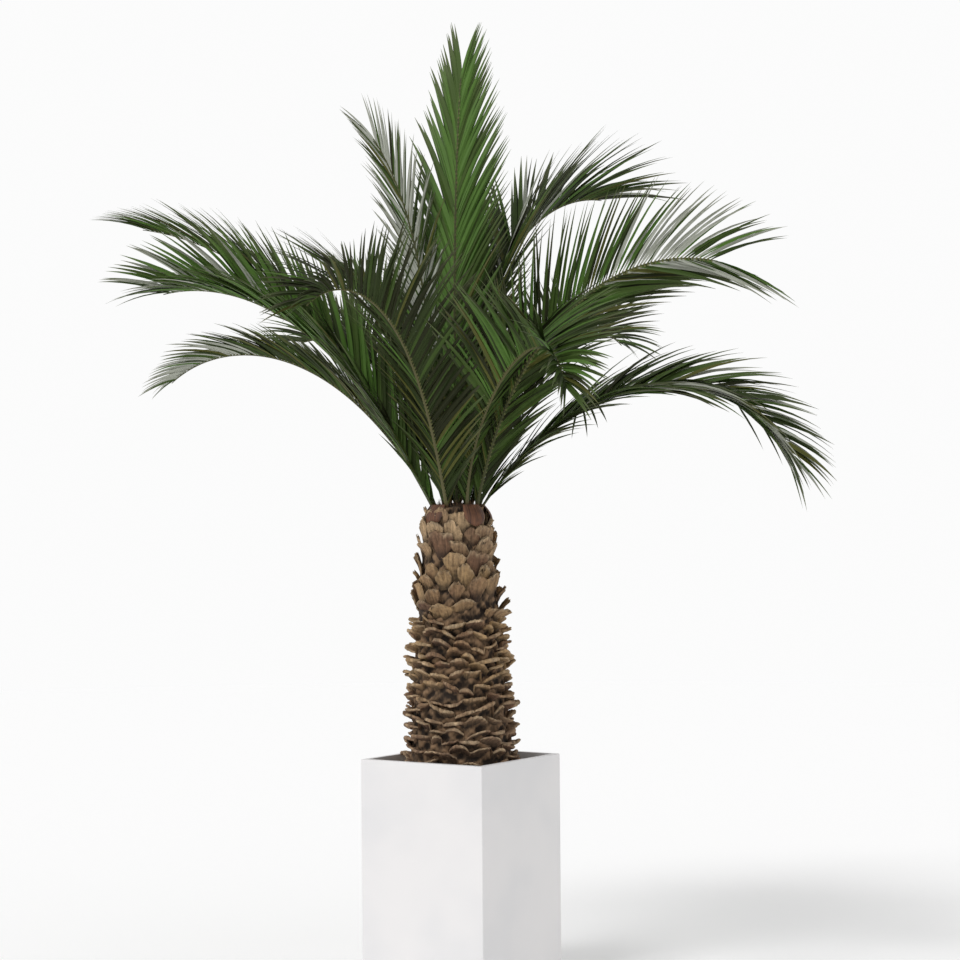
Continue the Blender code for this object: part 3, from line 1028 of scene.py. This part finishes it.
    def sheaths(self) -> Surface:
        """Smooth sheaths that clasp the trunk's top under the outer fronds.

        Each is a closed slab: half an ellipse in outline, rounded below, bulging outwards along its middle.

        Returns:
            The surface.
        """
        angle = np.radians(np.array(self.sheath_bearings))[:, None, None]
        run = np.linspace(0, 1, 9)[None, :, None]
        side, face = slab_ring(9)
        outline = np.sqrt(1 - (1 - np.clip(run * 1.25, 0.03, 1)) ** 2) * (1 - 0.12 * run ** 2)
        width = self.sheath_half_turn * outline
        level = self.top - self.sheath_depth + self.sheath_height * run
        hump = np.sin(math.pi * np.clip(run * 0.8 + 0.12, 0, 1)) * (1 - side ** 2 * 0.4)
        outward = self.sheath_bulge * hump + self.sheath_stand
        inward = self.sheath_lean * run ** 3
        thick = self.sheath_thickness / 2 * np.sqrt(np.clip(1 - side ** 2, 0, 1))
        radius = self.radius(level) + outward - inward - thick * face
        points = self.around_axis(angle + side * width, radius, level + 0 * angle)
        pattern = together(side * width * 0.1 + angle, level + 0 * radius)
        return Surface().add(points, pattern, tube_faces(len(angle), run.size, side.size))

    def fibres(self) -> Surface:
        """Loose strands round the fronds' feet: three-sided hairs that rise, lean and curl at random.

        A strand's middle line is its foot, plus its length along it, plus a curl that grows by the square of
        the run.

        Returns:
            The surface.
        """
        rolls, count, sides = self.rolls, self.fibre_count, 3
        angle = rolls.uniform(0, TURN, count)
        radius = self.top_radius * np.sqrt(rolls.uniform(0.05, 0.80, count))
        foot = self.around_axis(angle, radius, np.full(count, self.top - self.fibre_seat))
        lean = rolls.normal(0, 0.30, count) + 0.10
        heading = angle + rolls.normal(0, 0.7, count)
        along = np.stack([np.sin(lean) * np.cos(heading), np.sin(lean) * np.sin(heading), np.cos(lean)],
                         axis=-1)
        bend = square_to(rolls.normal(0, 1, (count, 3)), along)
        third = np.cross(along, bend)
        length = rolls.uniform(*self.fibre_length, count)[:, None, None]
        run = np.linspace(0, 1, 6)[None, :, None]
        curl = rolls.uniform(-0.4, 0.4, count)[:, None, None]
        centre = foot[:, None] + along[:, None] * length * run + bend[:, None] * length * curl * run ** 2
        corner = (np.arange(sides) * TURN / sides)[None, None, :, None]
        girth = (self.fibre_radius * (1 - 0.8 * run))[..., None]
        points = (centre[:, :, None] + bend[:, None, None] * np.cos(corner) * girth
                  + third[:, None, None] * np.sin(corner) * girth)
        return Surface().add(points, points[..., :2], tube_faces(count, run.size, sides))

    def build(self) -> None:
        """Makes the trunk's pieces."""
        boot = BootFinish().make()
        for name, shape, material, crease in (("trunk_core", self.core, BARK.make(), 60.0),
                                              ("trunk_shelves", self.shelves, boot, 50.0),
                                              ("trunk_scales", self.scales, boot, 50.0),
                                              ("frond_sheaths", self.sheaths, SHEATH.make(), 30.0),
                                              ("crown_fibres", self.fibres, FIBRE.make(), 30.0)):
            shape().piece(name, material, "boot_bark", [self.node], crease)


# ---------------------------------------------------------------- crown


class LeafTint(Enum):
    """The plain greens that leaflets are dealt."""

    FRESH = "fresh"
    MIDDLE = "middle"
    DEEP = "deep"
    OLIVE = "olive"
    SHADED = "shaded"
    PAINTED_SHEEN = "painted_sheen"


LEAF_FINISHES = {
    LeafTint.FRESH: LeafFinish("leaf_fresh", linear(80, 112, 48)),
    LeafTint.MIDDLE: LeafFinish("leaf_middle", linear(64, 84, 36)),
    LeafTint.DEEP: LeafFinish("leaf_deep", linear(48, 60, 28)),
    LeafTint.OLIVE: LeafFinish("leaf_olive", linear(84, 86, 40)),
    LeafTint.SHADED: LeafFinish("leaf_shaded", linear(40, 44, 22)),
    # Painted sheen: pale grey leaflets that stand for bright reflections
    LeafTint.PAINTED_SHEEN: LeafFinish("leaf_painted_sheen", linear(164, 167, 155), gloss=0.30),
}


class Mood(Enum):
    """How the greens are shared out over a frond, in the order of LeafTint without its last."""

    EVEN = (0.62, 0.38, 0.00, 0.00, 0.00)
    BRIGHT = (0.50, 0.34, 0.06, 0.08, 0.02)
    LIVELY = (0.22, 0.42, 0.20, 0.10, 0.06)
    CALM = (0.06, 0.36, 0.34, 0.10, 0.14)
    DARK = (0.02, 0.16, 0.40, 0.10, 0.32)


@dataclass(frozen=True)
class Frond:
    """One feather frond. Angles are in degrees, and bearings are counted from +X towards +Y.

    Its seat is a distance and a bearing from the trunk's axis. Its rib starts out at its bearing and turns
    aside by its sweep, and its pitch starts at its rise and loses its fall by a power, its arch. Roll turns
    its blade about the rib.

    Spread, closing, leaf and last are shares of the crown's own values, and fold adds to its lift. Divided
    says whether its solid is in two. The moods share out the greens near its foot (inner) and further out;
    the inner mood is darker, a painted shade of the crown's inside.
    Paleness is that of the rib. Fullness widens the outer leaflets, and the sheen share is that of leaflets
    painted pale grey as a painted sheen, from a share of the way along: both have a number for the left and
    one for the right.
    """

    seat: float
    seat_bearing: float
    bearing: float
    rise: float
    fall: float
    arch: float
    sweep: float
    length: float
    roll: float = 0.0
    spread: float = 1.0
    fold: float = 0.0
    leaf: float = 1.0
    last: float = 1.0
    closing: float = 1.0
    divided: bool = True
    mood: Mood = Mood.CALM
    # Painted shade: darker greens near the foot stand for the shade inside the crown
    inner: Mood = Mood.DARK
    paleness: float = 0.15
    fullness: tuple[float, float] = (1.0, 1.0)
    painted_sheen: tuple[float, float] = (0.0, 0.0)
    painted_sheen_from: float = 0.5
    raggedness: float = 1.0


FRONDS = (
    Frond(0.000, 298, 294, 87, -21, 1.55, -8, 1.762, roll=4, spread=0.58, leaf=1.1, last=1.1,
          closing=0.7, divided=False, mood=Mood.EVEN, inner=Mood.BRIGHT, paleness=0.1,
          fullness=(1.2, 1.9), raggedness=0.25),
    Frond(0.036, 208, 221, 85, 48, 3.7, -1, 1.53, roll=82, spread=0.6, fold=5, leaf=0.84, last=1.0,
          closing=0.37, divided=False, mood=Mood.CALM, fullness=(1.0, 1.1), painted_sheen=(0.72, 0.65),
          painted_sheen_from=0.29, raggedness=0.8),
    Frond(0.084, 207, 219, 61, 74, 2.15, -4, 1.68, roll=-14, spread=0.5, fold=-17, last=0.88,
          closing=1.2, mood=Mood.CALM, fullness=(0.7, 0.7)),
    Frond(0.084, 233, 226, 60, 106, 2.3, 8, 1.49, roll=-44, spread=0.62, last=1.04, closing=0.32,
          mood=Mood.EVEN, inner=Mood.LIVELY, fullness=(1.35, 1.4), painted_sheen=(0.5, 0.4), painted_sheen_from=0.68),
    Frond(0.084, 180, 202, 57, 124, 1.8, -17, 1.475, roll=3, spread=0.52, fold=-10, leaf=0.7, last=0.92,
          closing=0.4, mood=Mood.CALM, fullness=(1.3, 1.4), painted_sheen=(0.7, 0.6), painted_sheen_from=0.62,
          raggedness=0.7),
    Frond(0.080, 278, 282, 66, 136, 2.1, -12, 1.5, mood=Mood.DARK, paleness=0.45),
    Frond(0.050, 150, 150, 60, 58, 1.9, 0, 1.42, spread=0.7, divided=False, mood=Mood.CALM),
    Frond(0.050, 76, 83, 85, 128, 2.47, -19, 1.64, roll=-8, spread=0.98, fold=-16, leaf=1.16, last=1.42,
          closing=1.3, mood=Mood.CALM, fullness=(1.25, 1.25), painted_sheen=(0.1, 0.1)),
    Frond(0.080, 3, 355, 74, 109, 1.47, 3, 1.64, roll=115, spread=0.68, fold=-45, last=1.4,
          closing=0.37, mood=Mood.LIVELY, fullness=(0.85, 1.4), painted_sheen=(0.68, 0.35), painted_sheen_from=0.63),
    Frond(0.086, 28, 24, 53, 148, 1.56, -5, 1.53, roll=14, spread=0.92, fold=-36, leaf=1.07,
          closing=0.2, mood=Mood.CALM, fullness=(1.75, 1.6), painted_sheen=(0.3, 0.3), painted_sheen_from=0.4),
    Frond(0.072, 333, 338, 88, 146, 0.9, -32, 1.52, mood=Mood.LIVELY, inner=Mood.CALM, paleness=0.4,
          fullness=(1.3, 1.3)),
    Frond(0.086, 60, 88, 58, 122, 2.3, 0, 1.43),
    Frond(0.086, 90, 101, 58, 115, 2.0, 0, 1.42),
    Frond(0.086, 120, 121, 62, 118, 1.7, 0, 1.45, mood=Mood.LIVELY),
    Frond(0.086, 152, 165, 64, 96, 1.7, 0, 1.28),
    Frond(0.036, 125, 125, 79, 98, 2.1, 0, 1.42),
)


@dataclass(frozen=True)
class Stray:
    """A leaflet that has come away from its row: where it is rooted, and which way it hangs or stands.

    Its frond is counted from 1, its place runs from the stalk (0) to the last leaflet (1), and its bearing
    and its pitch are in degrees.
    """

    frond: int
    place: float
    bearing: float
    pitch: float
    length: float


STRAYS = (
    Stray(3, 0.10, 213, 48, 0.171),
    Stray(10, 0.10, 33, 35, 0.131),
    Stray(10, 0.36, 230, -78, 0.092),
    Stray(10, 0.38, 350, -80, 0.100),
    Stray(10, 0.40, 20, -70, 0.084),
    Stray(10, 0.42, 40, -62, 0.078),
    Stray(10, 0.815, 33, -61, 0.178),
    Stray(10, 0.885, 33, -63, 0.172),
)

# Where the rings of a leaflet lie, as shares of its length
BLADE_RUN = np.array([0.0, 0.05, 0.16, 0.32, 0.50, 0.67, 0.83, 0.94, 1.0])


@dataclass(frozen=True)
class RibFrames:
    """Places along a rib, each with its directions along, across to the left, and out of its upper side."""

    centre: Array
    along: Array
    across: Array
    upward: Array


@dataclass
class Crown:
    """The crown: the ribs, and leaflets in pairs that stand out of them in a V."""

    trunk: Trunk
    seat_gap: float = 0.0003
    curve_steps: int = 120
    rib_foot_width: float = 0.0105
    rib_tip_width: float = 0.0035
    rib_taper_power: float = 1.3
    rib_depth_ratio: float = 0.744
    rib_upper_share: float = 0.62
    rib_sides: int = 10
    foot_swell: float = 0.006
    foot_swell_length: float = 0.045
    stalk_share: float = 0.006
    foot_gather: float = 0.45
    gather_reach: float = 0.07
    rib_end_share: float = 0.86
    last_root_share: float = 0.845
    rib_rings: int = 64
    pairs: int = 96
    row_inset: float = 0.34
    leaflet_length: float = 0.42
    leaflet_peak: float = 0.42
    first_leaflet: float = 0.42
    last_leaflet: float = 0.56
    leaflet_half_width: float = 0.0080
    leaflet_thickness: float = 0.0009
    leaflet_root_thickness: float = 0.0022
    leaflet_keel: tuple[float, float] = (16.0, 34.0)
    spread_at_stalk: float = 56.0
    spread_loss: float = 14.0
    spread_closing: float = 29.0
    closing_power: float = 4.0
    lift_at_stalk: float = 28.0
    lift_at_tip: float = 40.0
    stray_narrowing: float = 0.55
    seed: int = 23

    def __post_init__(self) -> None:
        """Starts the random numbers and takes the box that the solids fill."""
        self.rolls = np.random.default_rng(self.seed)
        self.low, self.high = (np.array(corner) for corner in CAD_BOX)

    def axes(self, frond: Frond, share: Array) -> tuple[Array, Array, Array]:
        """Directions of a rib: its pitch is its rise less its fall times a power of the share.

        Its bearing changes evenly by its sweep, and its blade is turned about it by its roll.

        Args:
            frond: the frond.
            share: places along the rib, from 0 at its foot to 1 at its tip.

        Returns:
            The directions along the rib, across it to the left, and out of its upper side.
        """
        pitch = np.radians(frond.rise - frond.fall * share ** frond.arch)
        turn = np.radians(frond.bearing + frond.sweep * share)
        roll = math.radians(frond.roll)
        along = np.stack([np.cos(pitch) * np.cos(turn), np.cos(pitch) * np.sin(turn), np.sin(pitch)], axis=-1)
        level = np.stack([-np.sin(turn), np.cos(turn), 0 * turn], axis=-1)
        rise = np.cross(along, level)
        across = level * math.cos(roll) + rise * math.sin(roll)
        upward = rise * math.cos(roll) - level * math.sin(roll)
        return along, across, upward

    def frames(self, frond: Frond, share: Array) -> RibFrames:
        """Finds places on a rib, whose path is the running sum of short steps along its direction.

        Args:
            frond: the frond.
            share: places along the rib, from 0 at its foot to 1 at its tip.

        Returns:
            The frames there.
        """
        seat = np.array(math.radians(frond.seat_bearing))
        level = np.array(self.trunk.top + self.seat_gap)
        foot = self.trunk.around_axis(seat, np.array(frond.seat), level)
        middles = (np.arange(self.curve_steps) + 0.5) / self.curve_steps
        steps = self.axes(frond, middles)[0] * frond.length / self.curve_steps
        points = np.concatenate([foot[None], foot + np.cumsum(steps, axis=0)])
        knots = np.linspace(0, 1, self.curve_steps + 1)
        centre = np.stack([np.interp(share, knots, points[:, axis]) for axis in range(3)], axis=-1)
        return RibFrames(centre, *self.axes(frond, share))

    def rib_width(self, frond: Frond, share: Array) -> Array:
        """Width of a rib: a taper from foot to tip, and a swelling that fades away from its foot.

        Args:
            frond: the frond.
            share: places along the rib.

        Returns:
            The width there.
        """
        taper = blend(self.rib_tip_width, self.rib_foot_width, (1 - share) ** self.rib_taper_power)
        return taper + self.foot_swell * np.exp(-share * frond.length / self.foot_swell_length)

    def rib(self, frond: Frond, surface: Surface) -> None:
        """Adds a rib: a rounded section with a flatter upper side, carried along its path and closed.

        Args:
            frond: the frond.
            surface: the surface it is added to.
        """
        share = np.linspace(0, self.rib_end_share, self.rib_rings)
        frames = self.frames(frond, share)
        width = self.rib_width(frond, share)[:, None]
        angle = np.linspace(0, TURN, self.rib_sides, endpoint=False)[None, :]
        flat = np.where(np.sin(angle) > 0, self.rib_upper_share, 1.0)
        sideways = width / 2 * np.cos(angle)
        upright = width * self.rib_depth_ratio / 2 * np.sin(angle) * flat
        points = (frames.centre[:, None] + frames.across[:, None] * sideways[..., None]
                  + frames.upward[:, None] * upright[..., None])
        run = (share * frond.length)[:, None]
        faces = tube_faces(1, self.rib_rings, self.rib_sides)
        surface.add(points[:, ::-1], together(angle * 0.01, run), faces, run=run, pale=frond.paleness)

    def leaflet_lengths(self, frond: Frond, place: Array) -> Array:
        """Lengths of leaflets: longest near the middle, and shorter by a square towards both ends.

        Args:
            frond: the frond.
            place: places between the stalk (0) and the last leaflet (1).

        Returns:
            The length at each place.
        """
        last = self.last_leaflet * frond.last
        before = 1 - (1 - self.first_leaflet) * (1 - place / self.leaflet_peak) ** 2
        after = 1 - (1 - last) * ((place - self.leaflet_peak) / (1 - self.leaflet_peak)) ** 2
        return self.leaflet_length * frond.leaf * np.where(place < self.leaflet_peak, before, after)

    def clumps(self, count: int) -> Array:
        """Change of angle along the rib that draws neighbouring leaflets together: two uneven waves.

        Args:
            count: how many leaflets there are.

        Returns:
            The change for each, in degrees.
        """
        step = np.arange(count)
        waves = [np.sin(TURN * step / self.rolls.uniform(low, high) + self.rolls.uniform(0, 6.3))
                 for low, high in ((4.0, 6.0), (8.0, 13.0))]
        return 2.4 * waves[0] + 2.6 * waves[1]

    @staticmethod
    def blade_profile(run: Array) -> Array:
        """Half width of a leaflet as a share of its widest: full soon after the root, then a long taper."""
        return (0.45 + 0.55 * smooth_step(run / 0.20)) * np.clip(1 - run ** 2.3, 0.02, 1)

    def blades(self, root: Array, direction: Array, edge: Array, length: Array, bow: Array,
               half_width: Array) -> tuple[Array, Array]:
        """Closed blades folded along their keels.

        A middle line runs from root to tip with a bow upwards between them. A section is a flat V that is
        closed below, and it follows the blade's profile.

        Args:
            root: where each blade starts.
            direction: unit direction towards its tip.
            edge: unit direction across it, square to the direction.
            length: its length.
            bow: four times the height of its bow.
            half_width: its widest half width.

        Returns:
            The points and the pattern coordinates, by blade, ring and corner.
        """
        count, run = len(root), BLADE_RUN
        normal = np.cross(direction, edge)
        rise = square_to(np.broadcast_to(UP, direction.shape) + 1e-4, direction)
        stretch = run[None, :, None]
        centre = (root[:, None] + direction[:, None] * length[:, None, None] * stretch
                  + rise[:, None] * bow[:, None, None] * stretch * (1 - stretch))
        half = half_width[:, None] * self.blade_profile(run)[None, :]
        fold = np.radians(self.rolls.uniform(*self.leaflet_keel, count))[:, None]
        at_root = self.leaflet_root_thickness * np.exp(-run / 0.02)
        thick = (self.leaflet_thickness * (1 - 0.8 * run) + at_root)[None, :, None] / 2
        sideways = (half * np.cos(fold))[..., None] * edge[:, None]
        raised = (half * np.sin(fold))[..., None] * normal[:, None]
        points = np.stack([centre + sideways + raised, centre + thick * normal[:, None],
                           centre - sideways + raised, centre - thick * normal[:, None]], axis=2)
        own = (np.arange(count) * 0.21)[:, None]
        across = np.stack([half + own, 0 * half + own, own - half, 0 * half + own], axis=2)
        return points, together(across, (length[:, None] * run)[..., None])

    @staticmethod
    def lay(surface: Surface, points: Array, pattern: Array) -> None:
        """Adds blades to a surface, marked with the way from root to tip.

        Args:
            surface: the surface they are added to.
            points: their points, by blade, ring and corner.
            pattern: their pattern coordinates.
        """
        surface.add(points, pattern, tube_faces(len(points), len(BLADE_RUN), 4), run=BLADE_RUN[:, None])

    def leaflets(self, frond: Frond, side: int, surfaces: dict[LeafTint, Surface]) -> None:
        """Adds the leaflets on one side of a frond.

        The width of each lies in the plane of the leaflet and the rib, turned by a small random twist.

        Args:
            frond: the frond.
            side: 1 for its left and -1 for its right.
            surfaces: a surface for each green, which the leaflets are dealt to.
        """
        rolls, count, hand = self.rolls, self.pairs, (1 - side) // 2
        place = np.linspace(0, 1, count)
        share = blend(self.stalk_share, self.last_root_share, place)
        frames = self.frames(frond, share)
        closing = self.spread_closing * frond.closing * place ** self.closing_power
        gathered = 1 - self.foot_gather * np.exp(-place / self.gather_reach)
        spread = (self.spread_at_stalk - self.spread_loss * place - closing) * frond.spread * gathered
        waver = rolls.normal(0, 1.8, count) + self.clumps(count) * (1 - 0.8 * place ** 3)
        spread = np.radians(spread + frond.raggedness * waver)[:, None]
        lift = blend(self.lift_at_stalk, self.lift_at_tip, place) + frond.fold + rolls.normal(0, 4.5, count)
        lift = np.radians(lift)[:, None]
        outward = frames.across * side * np.cos(lift) + frames.upward * np.sin(lift)
        direction = unit(frames.along * np.cos(spread) + outward * np.sin(spread))
        length = self.leaflet_lengths(frond, place) * rolls.uniform(0.93, 1.05, count)
        inset = side * self.rib_width(frond, share) * self.row_inset
        root = frames.centre + frames.across * inset[:, None]
        length = length - 1.5 * self.beyond(root + direction * length[:, None])

        edge = -side * square_to(frames.along, direction)
        twist = frond.raggedness * rolls.normal(0, math.radians(16), count)[:, None]
        edge = edge * np.cos(twist) + np.cross(direction, edge) * np.sin(twist)
        flatness = np.sqrt(np.clip(1 - direction[:, 2] ** 2, 0, 1))
        bow = (0.05 + 0.16 * flatness * rolls.uniform(0.5, 1.3, count)) * length
        fullness = blend(1.0, frond.fullness[hand], smooth_step(place / 0.6))
        half_width = (self.leaflet_half_width * fullness * (length / self.leaflet_length) ** 0.4
                      * rolls.uniform(0.85, 1.15, count))
        points, pattern = self.blades(root, direction, edge, length, bow, half_width)
        dealt = self.dealt(frond, hand, place)
        for index, tint in enumerate(LeafTint):
            picked = dealt == index
            if picked.any():
                self.lay(surfaces[tint], points[picked], pattern[picked])

    def beyond(self, points: Array) -> Array:
        """How far points lie beyond the box of the solids, and 0 inside it.

        Args:
            points: the points.

        Returns:
            The greatest distance along any axis, for each point.
        """
        return np.maximum(np.max(np.maximum(self.low - points, points - self.high), axis=-1), 0)

    def dealt(self, frond: Frond, hand: int, place: Array) -> Array:
        """Deals the greens: the inner mood, a painted shade, changes into the outer one, and the painted
        sheen comes near the tip.

        Args:
            frond: the frond.
            hand: 0 for its left leaflets and 1 for its right ones.
            place: places between the stalk (0) and the last leaflet (1).

        Returns:
            The number of each leaflet's green, in the order of LeafTint.
        """
        outer_share = smooth_step((place - 0.10) / 0.45)[:, None]
        chances = blend(np.array(frond.inner.value), np.array(frond.mood.value), outer_share)
        draws = self.rolls.uniform(0, 1, (len(place), 1))
        dealt = np.sum(draws > np.cumsum(chances, axis=1)[:, :-1], axis=1)
        # Painted sheen: some outer leaflets are dealt the pale grey
        painted_sheen = frond.painted_sheen[hand] * smooth_step((place - frond.painted_sheen_from) / 0.2)
        dealt[self.rolls.uniform(0, 1, len(place)) < painted_sheen] = list(LeafTint).index(LeafTint.PAINTED_SHEEN)
        return dealt

    def strays(self, surface: Surface) -> None:
        """Adds the leaflets that have come away from their rows, each rooted on its frond's rib.

        Args:
            surface: the surface they are added to.
        """
        for stray in STRAYS:
            share = np.array([blend(self.stalk_share, self.last_root_share, stray.place)])
            frames = self.frames(FRONDS[stray.frond - 1], share)
            bearing, pitch = math.radians(stray.bearing), math.radians(stray.pitch)
            level = np.array([[math.cos(bearing), math.sin(bearing), 0.0]])
            direction = level * math.cos(pitch) + UP * math.sin(pitch)
            edge = square_to(frames.along, direction)
            length = np.array([stray.length])
            half_width = np.array([self.leaflet_half_width * self.stray_narrowing])
            blade = self.blades(frames.centre, direction, edge, length, 0.1 * length, half_width)
            self.lay(surface, *blade)

    def node_names(self) -> list[str]:
        """Names the solids that the crown stands for.

        Returns:
            Their node names.
        """
        names = []
        for number, frond in enumerate(FRONDS, 1):
            name = f"frond_{number:02d}"
            names += [name + "_base", name + "_tip"] if frond.divided else [name]
        return names

    def build(self) -> None:
        """Makes the ribs and one piece of leaflets for each green."""
        nodes = self.node_names()
        ribs = Surface()
        leaves = {tint: Surface() for tint in LeafTint}
        for frond in FRONDS:
            self.rib(frond, ribs)
            self.leaflets(frond, 1, leaves)
            self.leaflets(frond, -1, leaves)
        self.strays(leaves[LeafTint.DEEP])
        ribs.piece("frond_ribs", RibFinish().make(), "palm_leaf", nodes, crease=50.0)
        for tint, surface in leaves.items():
            material = LEAF_FINISHES[tint].make()
            surface.piece(f"leaflets_{tint.value}", material, "palm_leaf", nodes, crease=18.0)


# ---------------------------------------------------------------- studio


@dataclass
class Studio:
    """A pale floor, soft light from all round, one broad light from the upper left, and the camera."""

    azimuth: float = 33.4
    distance: float = 9.273
    shift_right: float = 0.0735
    eye_height: float = 1.7613
    roll: float = 0.46
    lens: float = 99.9
    floor_radius: float = 14.0
    floor_corners: int = 96
    floor_drop: float = 0.0005
    ambient: float = 0.70
    backdrop: float = 0.97
    key_strength: float = 1.20
    key_softness: float = 22.0
    key_from: tuple[float, float, float] = (-0.09, -0.78, 0.90)

    def add_floor(self) -> None:
        """Lays a round floor just under the planter's foot."""
        angle = np.linspace(0, TURN, self.floor_corners, endpoint=False)
        ring = np.stack([np.cos(angle), np.sin(angle), 0 * angle], axis=-1) * self.floor_radius
        corners = [tuple(corner) for corner in ring - self.floor_drop * UP]
        mesh = bpy.data.meshes.new("floor")
        mesh.from_pydata(corners, [], [tuple(range(len(corners)))])
        mesh.materials.append(FloorFinish().make())
        floor = bpy.data.objects.new("floor", mesh)
        bpy.context.scene.collection.objects.link(floor)

    def add_light(self) -> None:
        """Puts up a white surround, which the camera sees as bright as the floor, and a soft key light."""
        world = bpy.data.worlds.new("studio")
        bpy.context.scene.world = world
        world.use_nodes = True
        tree = world.node_tree
        tree.nodes.clear()
        choice = tree.nodes.new("ShaderNodeMixShader")
        rays = tree.nodes.new("ShaderNodeLightPath")
        output = tree.nodes.new("ShaderNodeOutputWorld")
        tree.links.new(rays.outputs["Is Camera Ray"], choice.inputs[0])
        for place, strength in enumerate((self.ambient, self.backdrop), 1):
            glow = tree.nodes.new("ShaderNodeBackground")
            glow.inputs["Color"].default_value = (1.0, 1.0, 1.0, 1.0)
            glow.inputs["Strength"].default_value = strength
            tree.links.new(glow.outputs[0], choice.inputs[place])
        tree.links.new(choice.outputs[0], output.inputs[0])
        lamp = bpy.data.lights.new("key", "SUN")
        lamp.energy = self.key_strength
        lamp.angle = math.radians(self.key_softness)
        key = bpy.data.objects.new("key", lamp)
        east, north, up = self.key_from
        tilt = math.acos(up / math.hypot(*self.key_from))
        key.rotation_euler = (tilt, 0.0, math.atan2(north, east) + math.pi / 2)
        bpy.context.scene.collection.objects.link(key)

    def add_camera(self) -> None:
        """Sets a level camera at eye height, turned a little about its line of sight."""
        turn = math.radians(self.azimuth)
        data = bpy.data.cameras.new("camera")
        data.lens = self.lens
        camera = bpy.data.objects.new("camera", data)
        camera.location = (self.distance * math.sin(turn) + self.shift_right * math.cos(turn),
                           -self.distance * math.cos(turn) + self.shift_right * math.sin(turn),
                           self.eye_height)
        camera.rotation_euler = (math.pi / 2, math.radians(self.roll), turn)
        bpy.context.scene.collection.objects.link(camera)
        bpy.context.scene.camera = camera

    def build(self) -> None:
        """Sets up the studio."""
        bpy.context.scene.view_settings.view_transform = "Standard"
        self.add_floor()
        self.add_light()
        self.add_camera()


def main() -> None:
    """Builds every part of the scene in order."""
    logging.basicConfig(level=logging.INFO, format="%(name)s %(message)s", stream=sys.stdout)
    Studio().build()
    Planter().dress()
    SoilBed().build()
    trunk = Trunk()
    trunk.build()
    Crown(trunk).build()


if __name__ == "__main__":
    main()
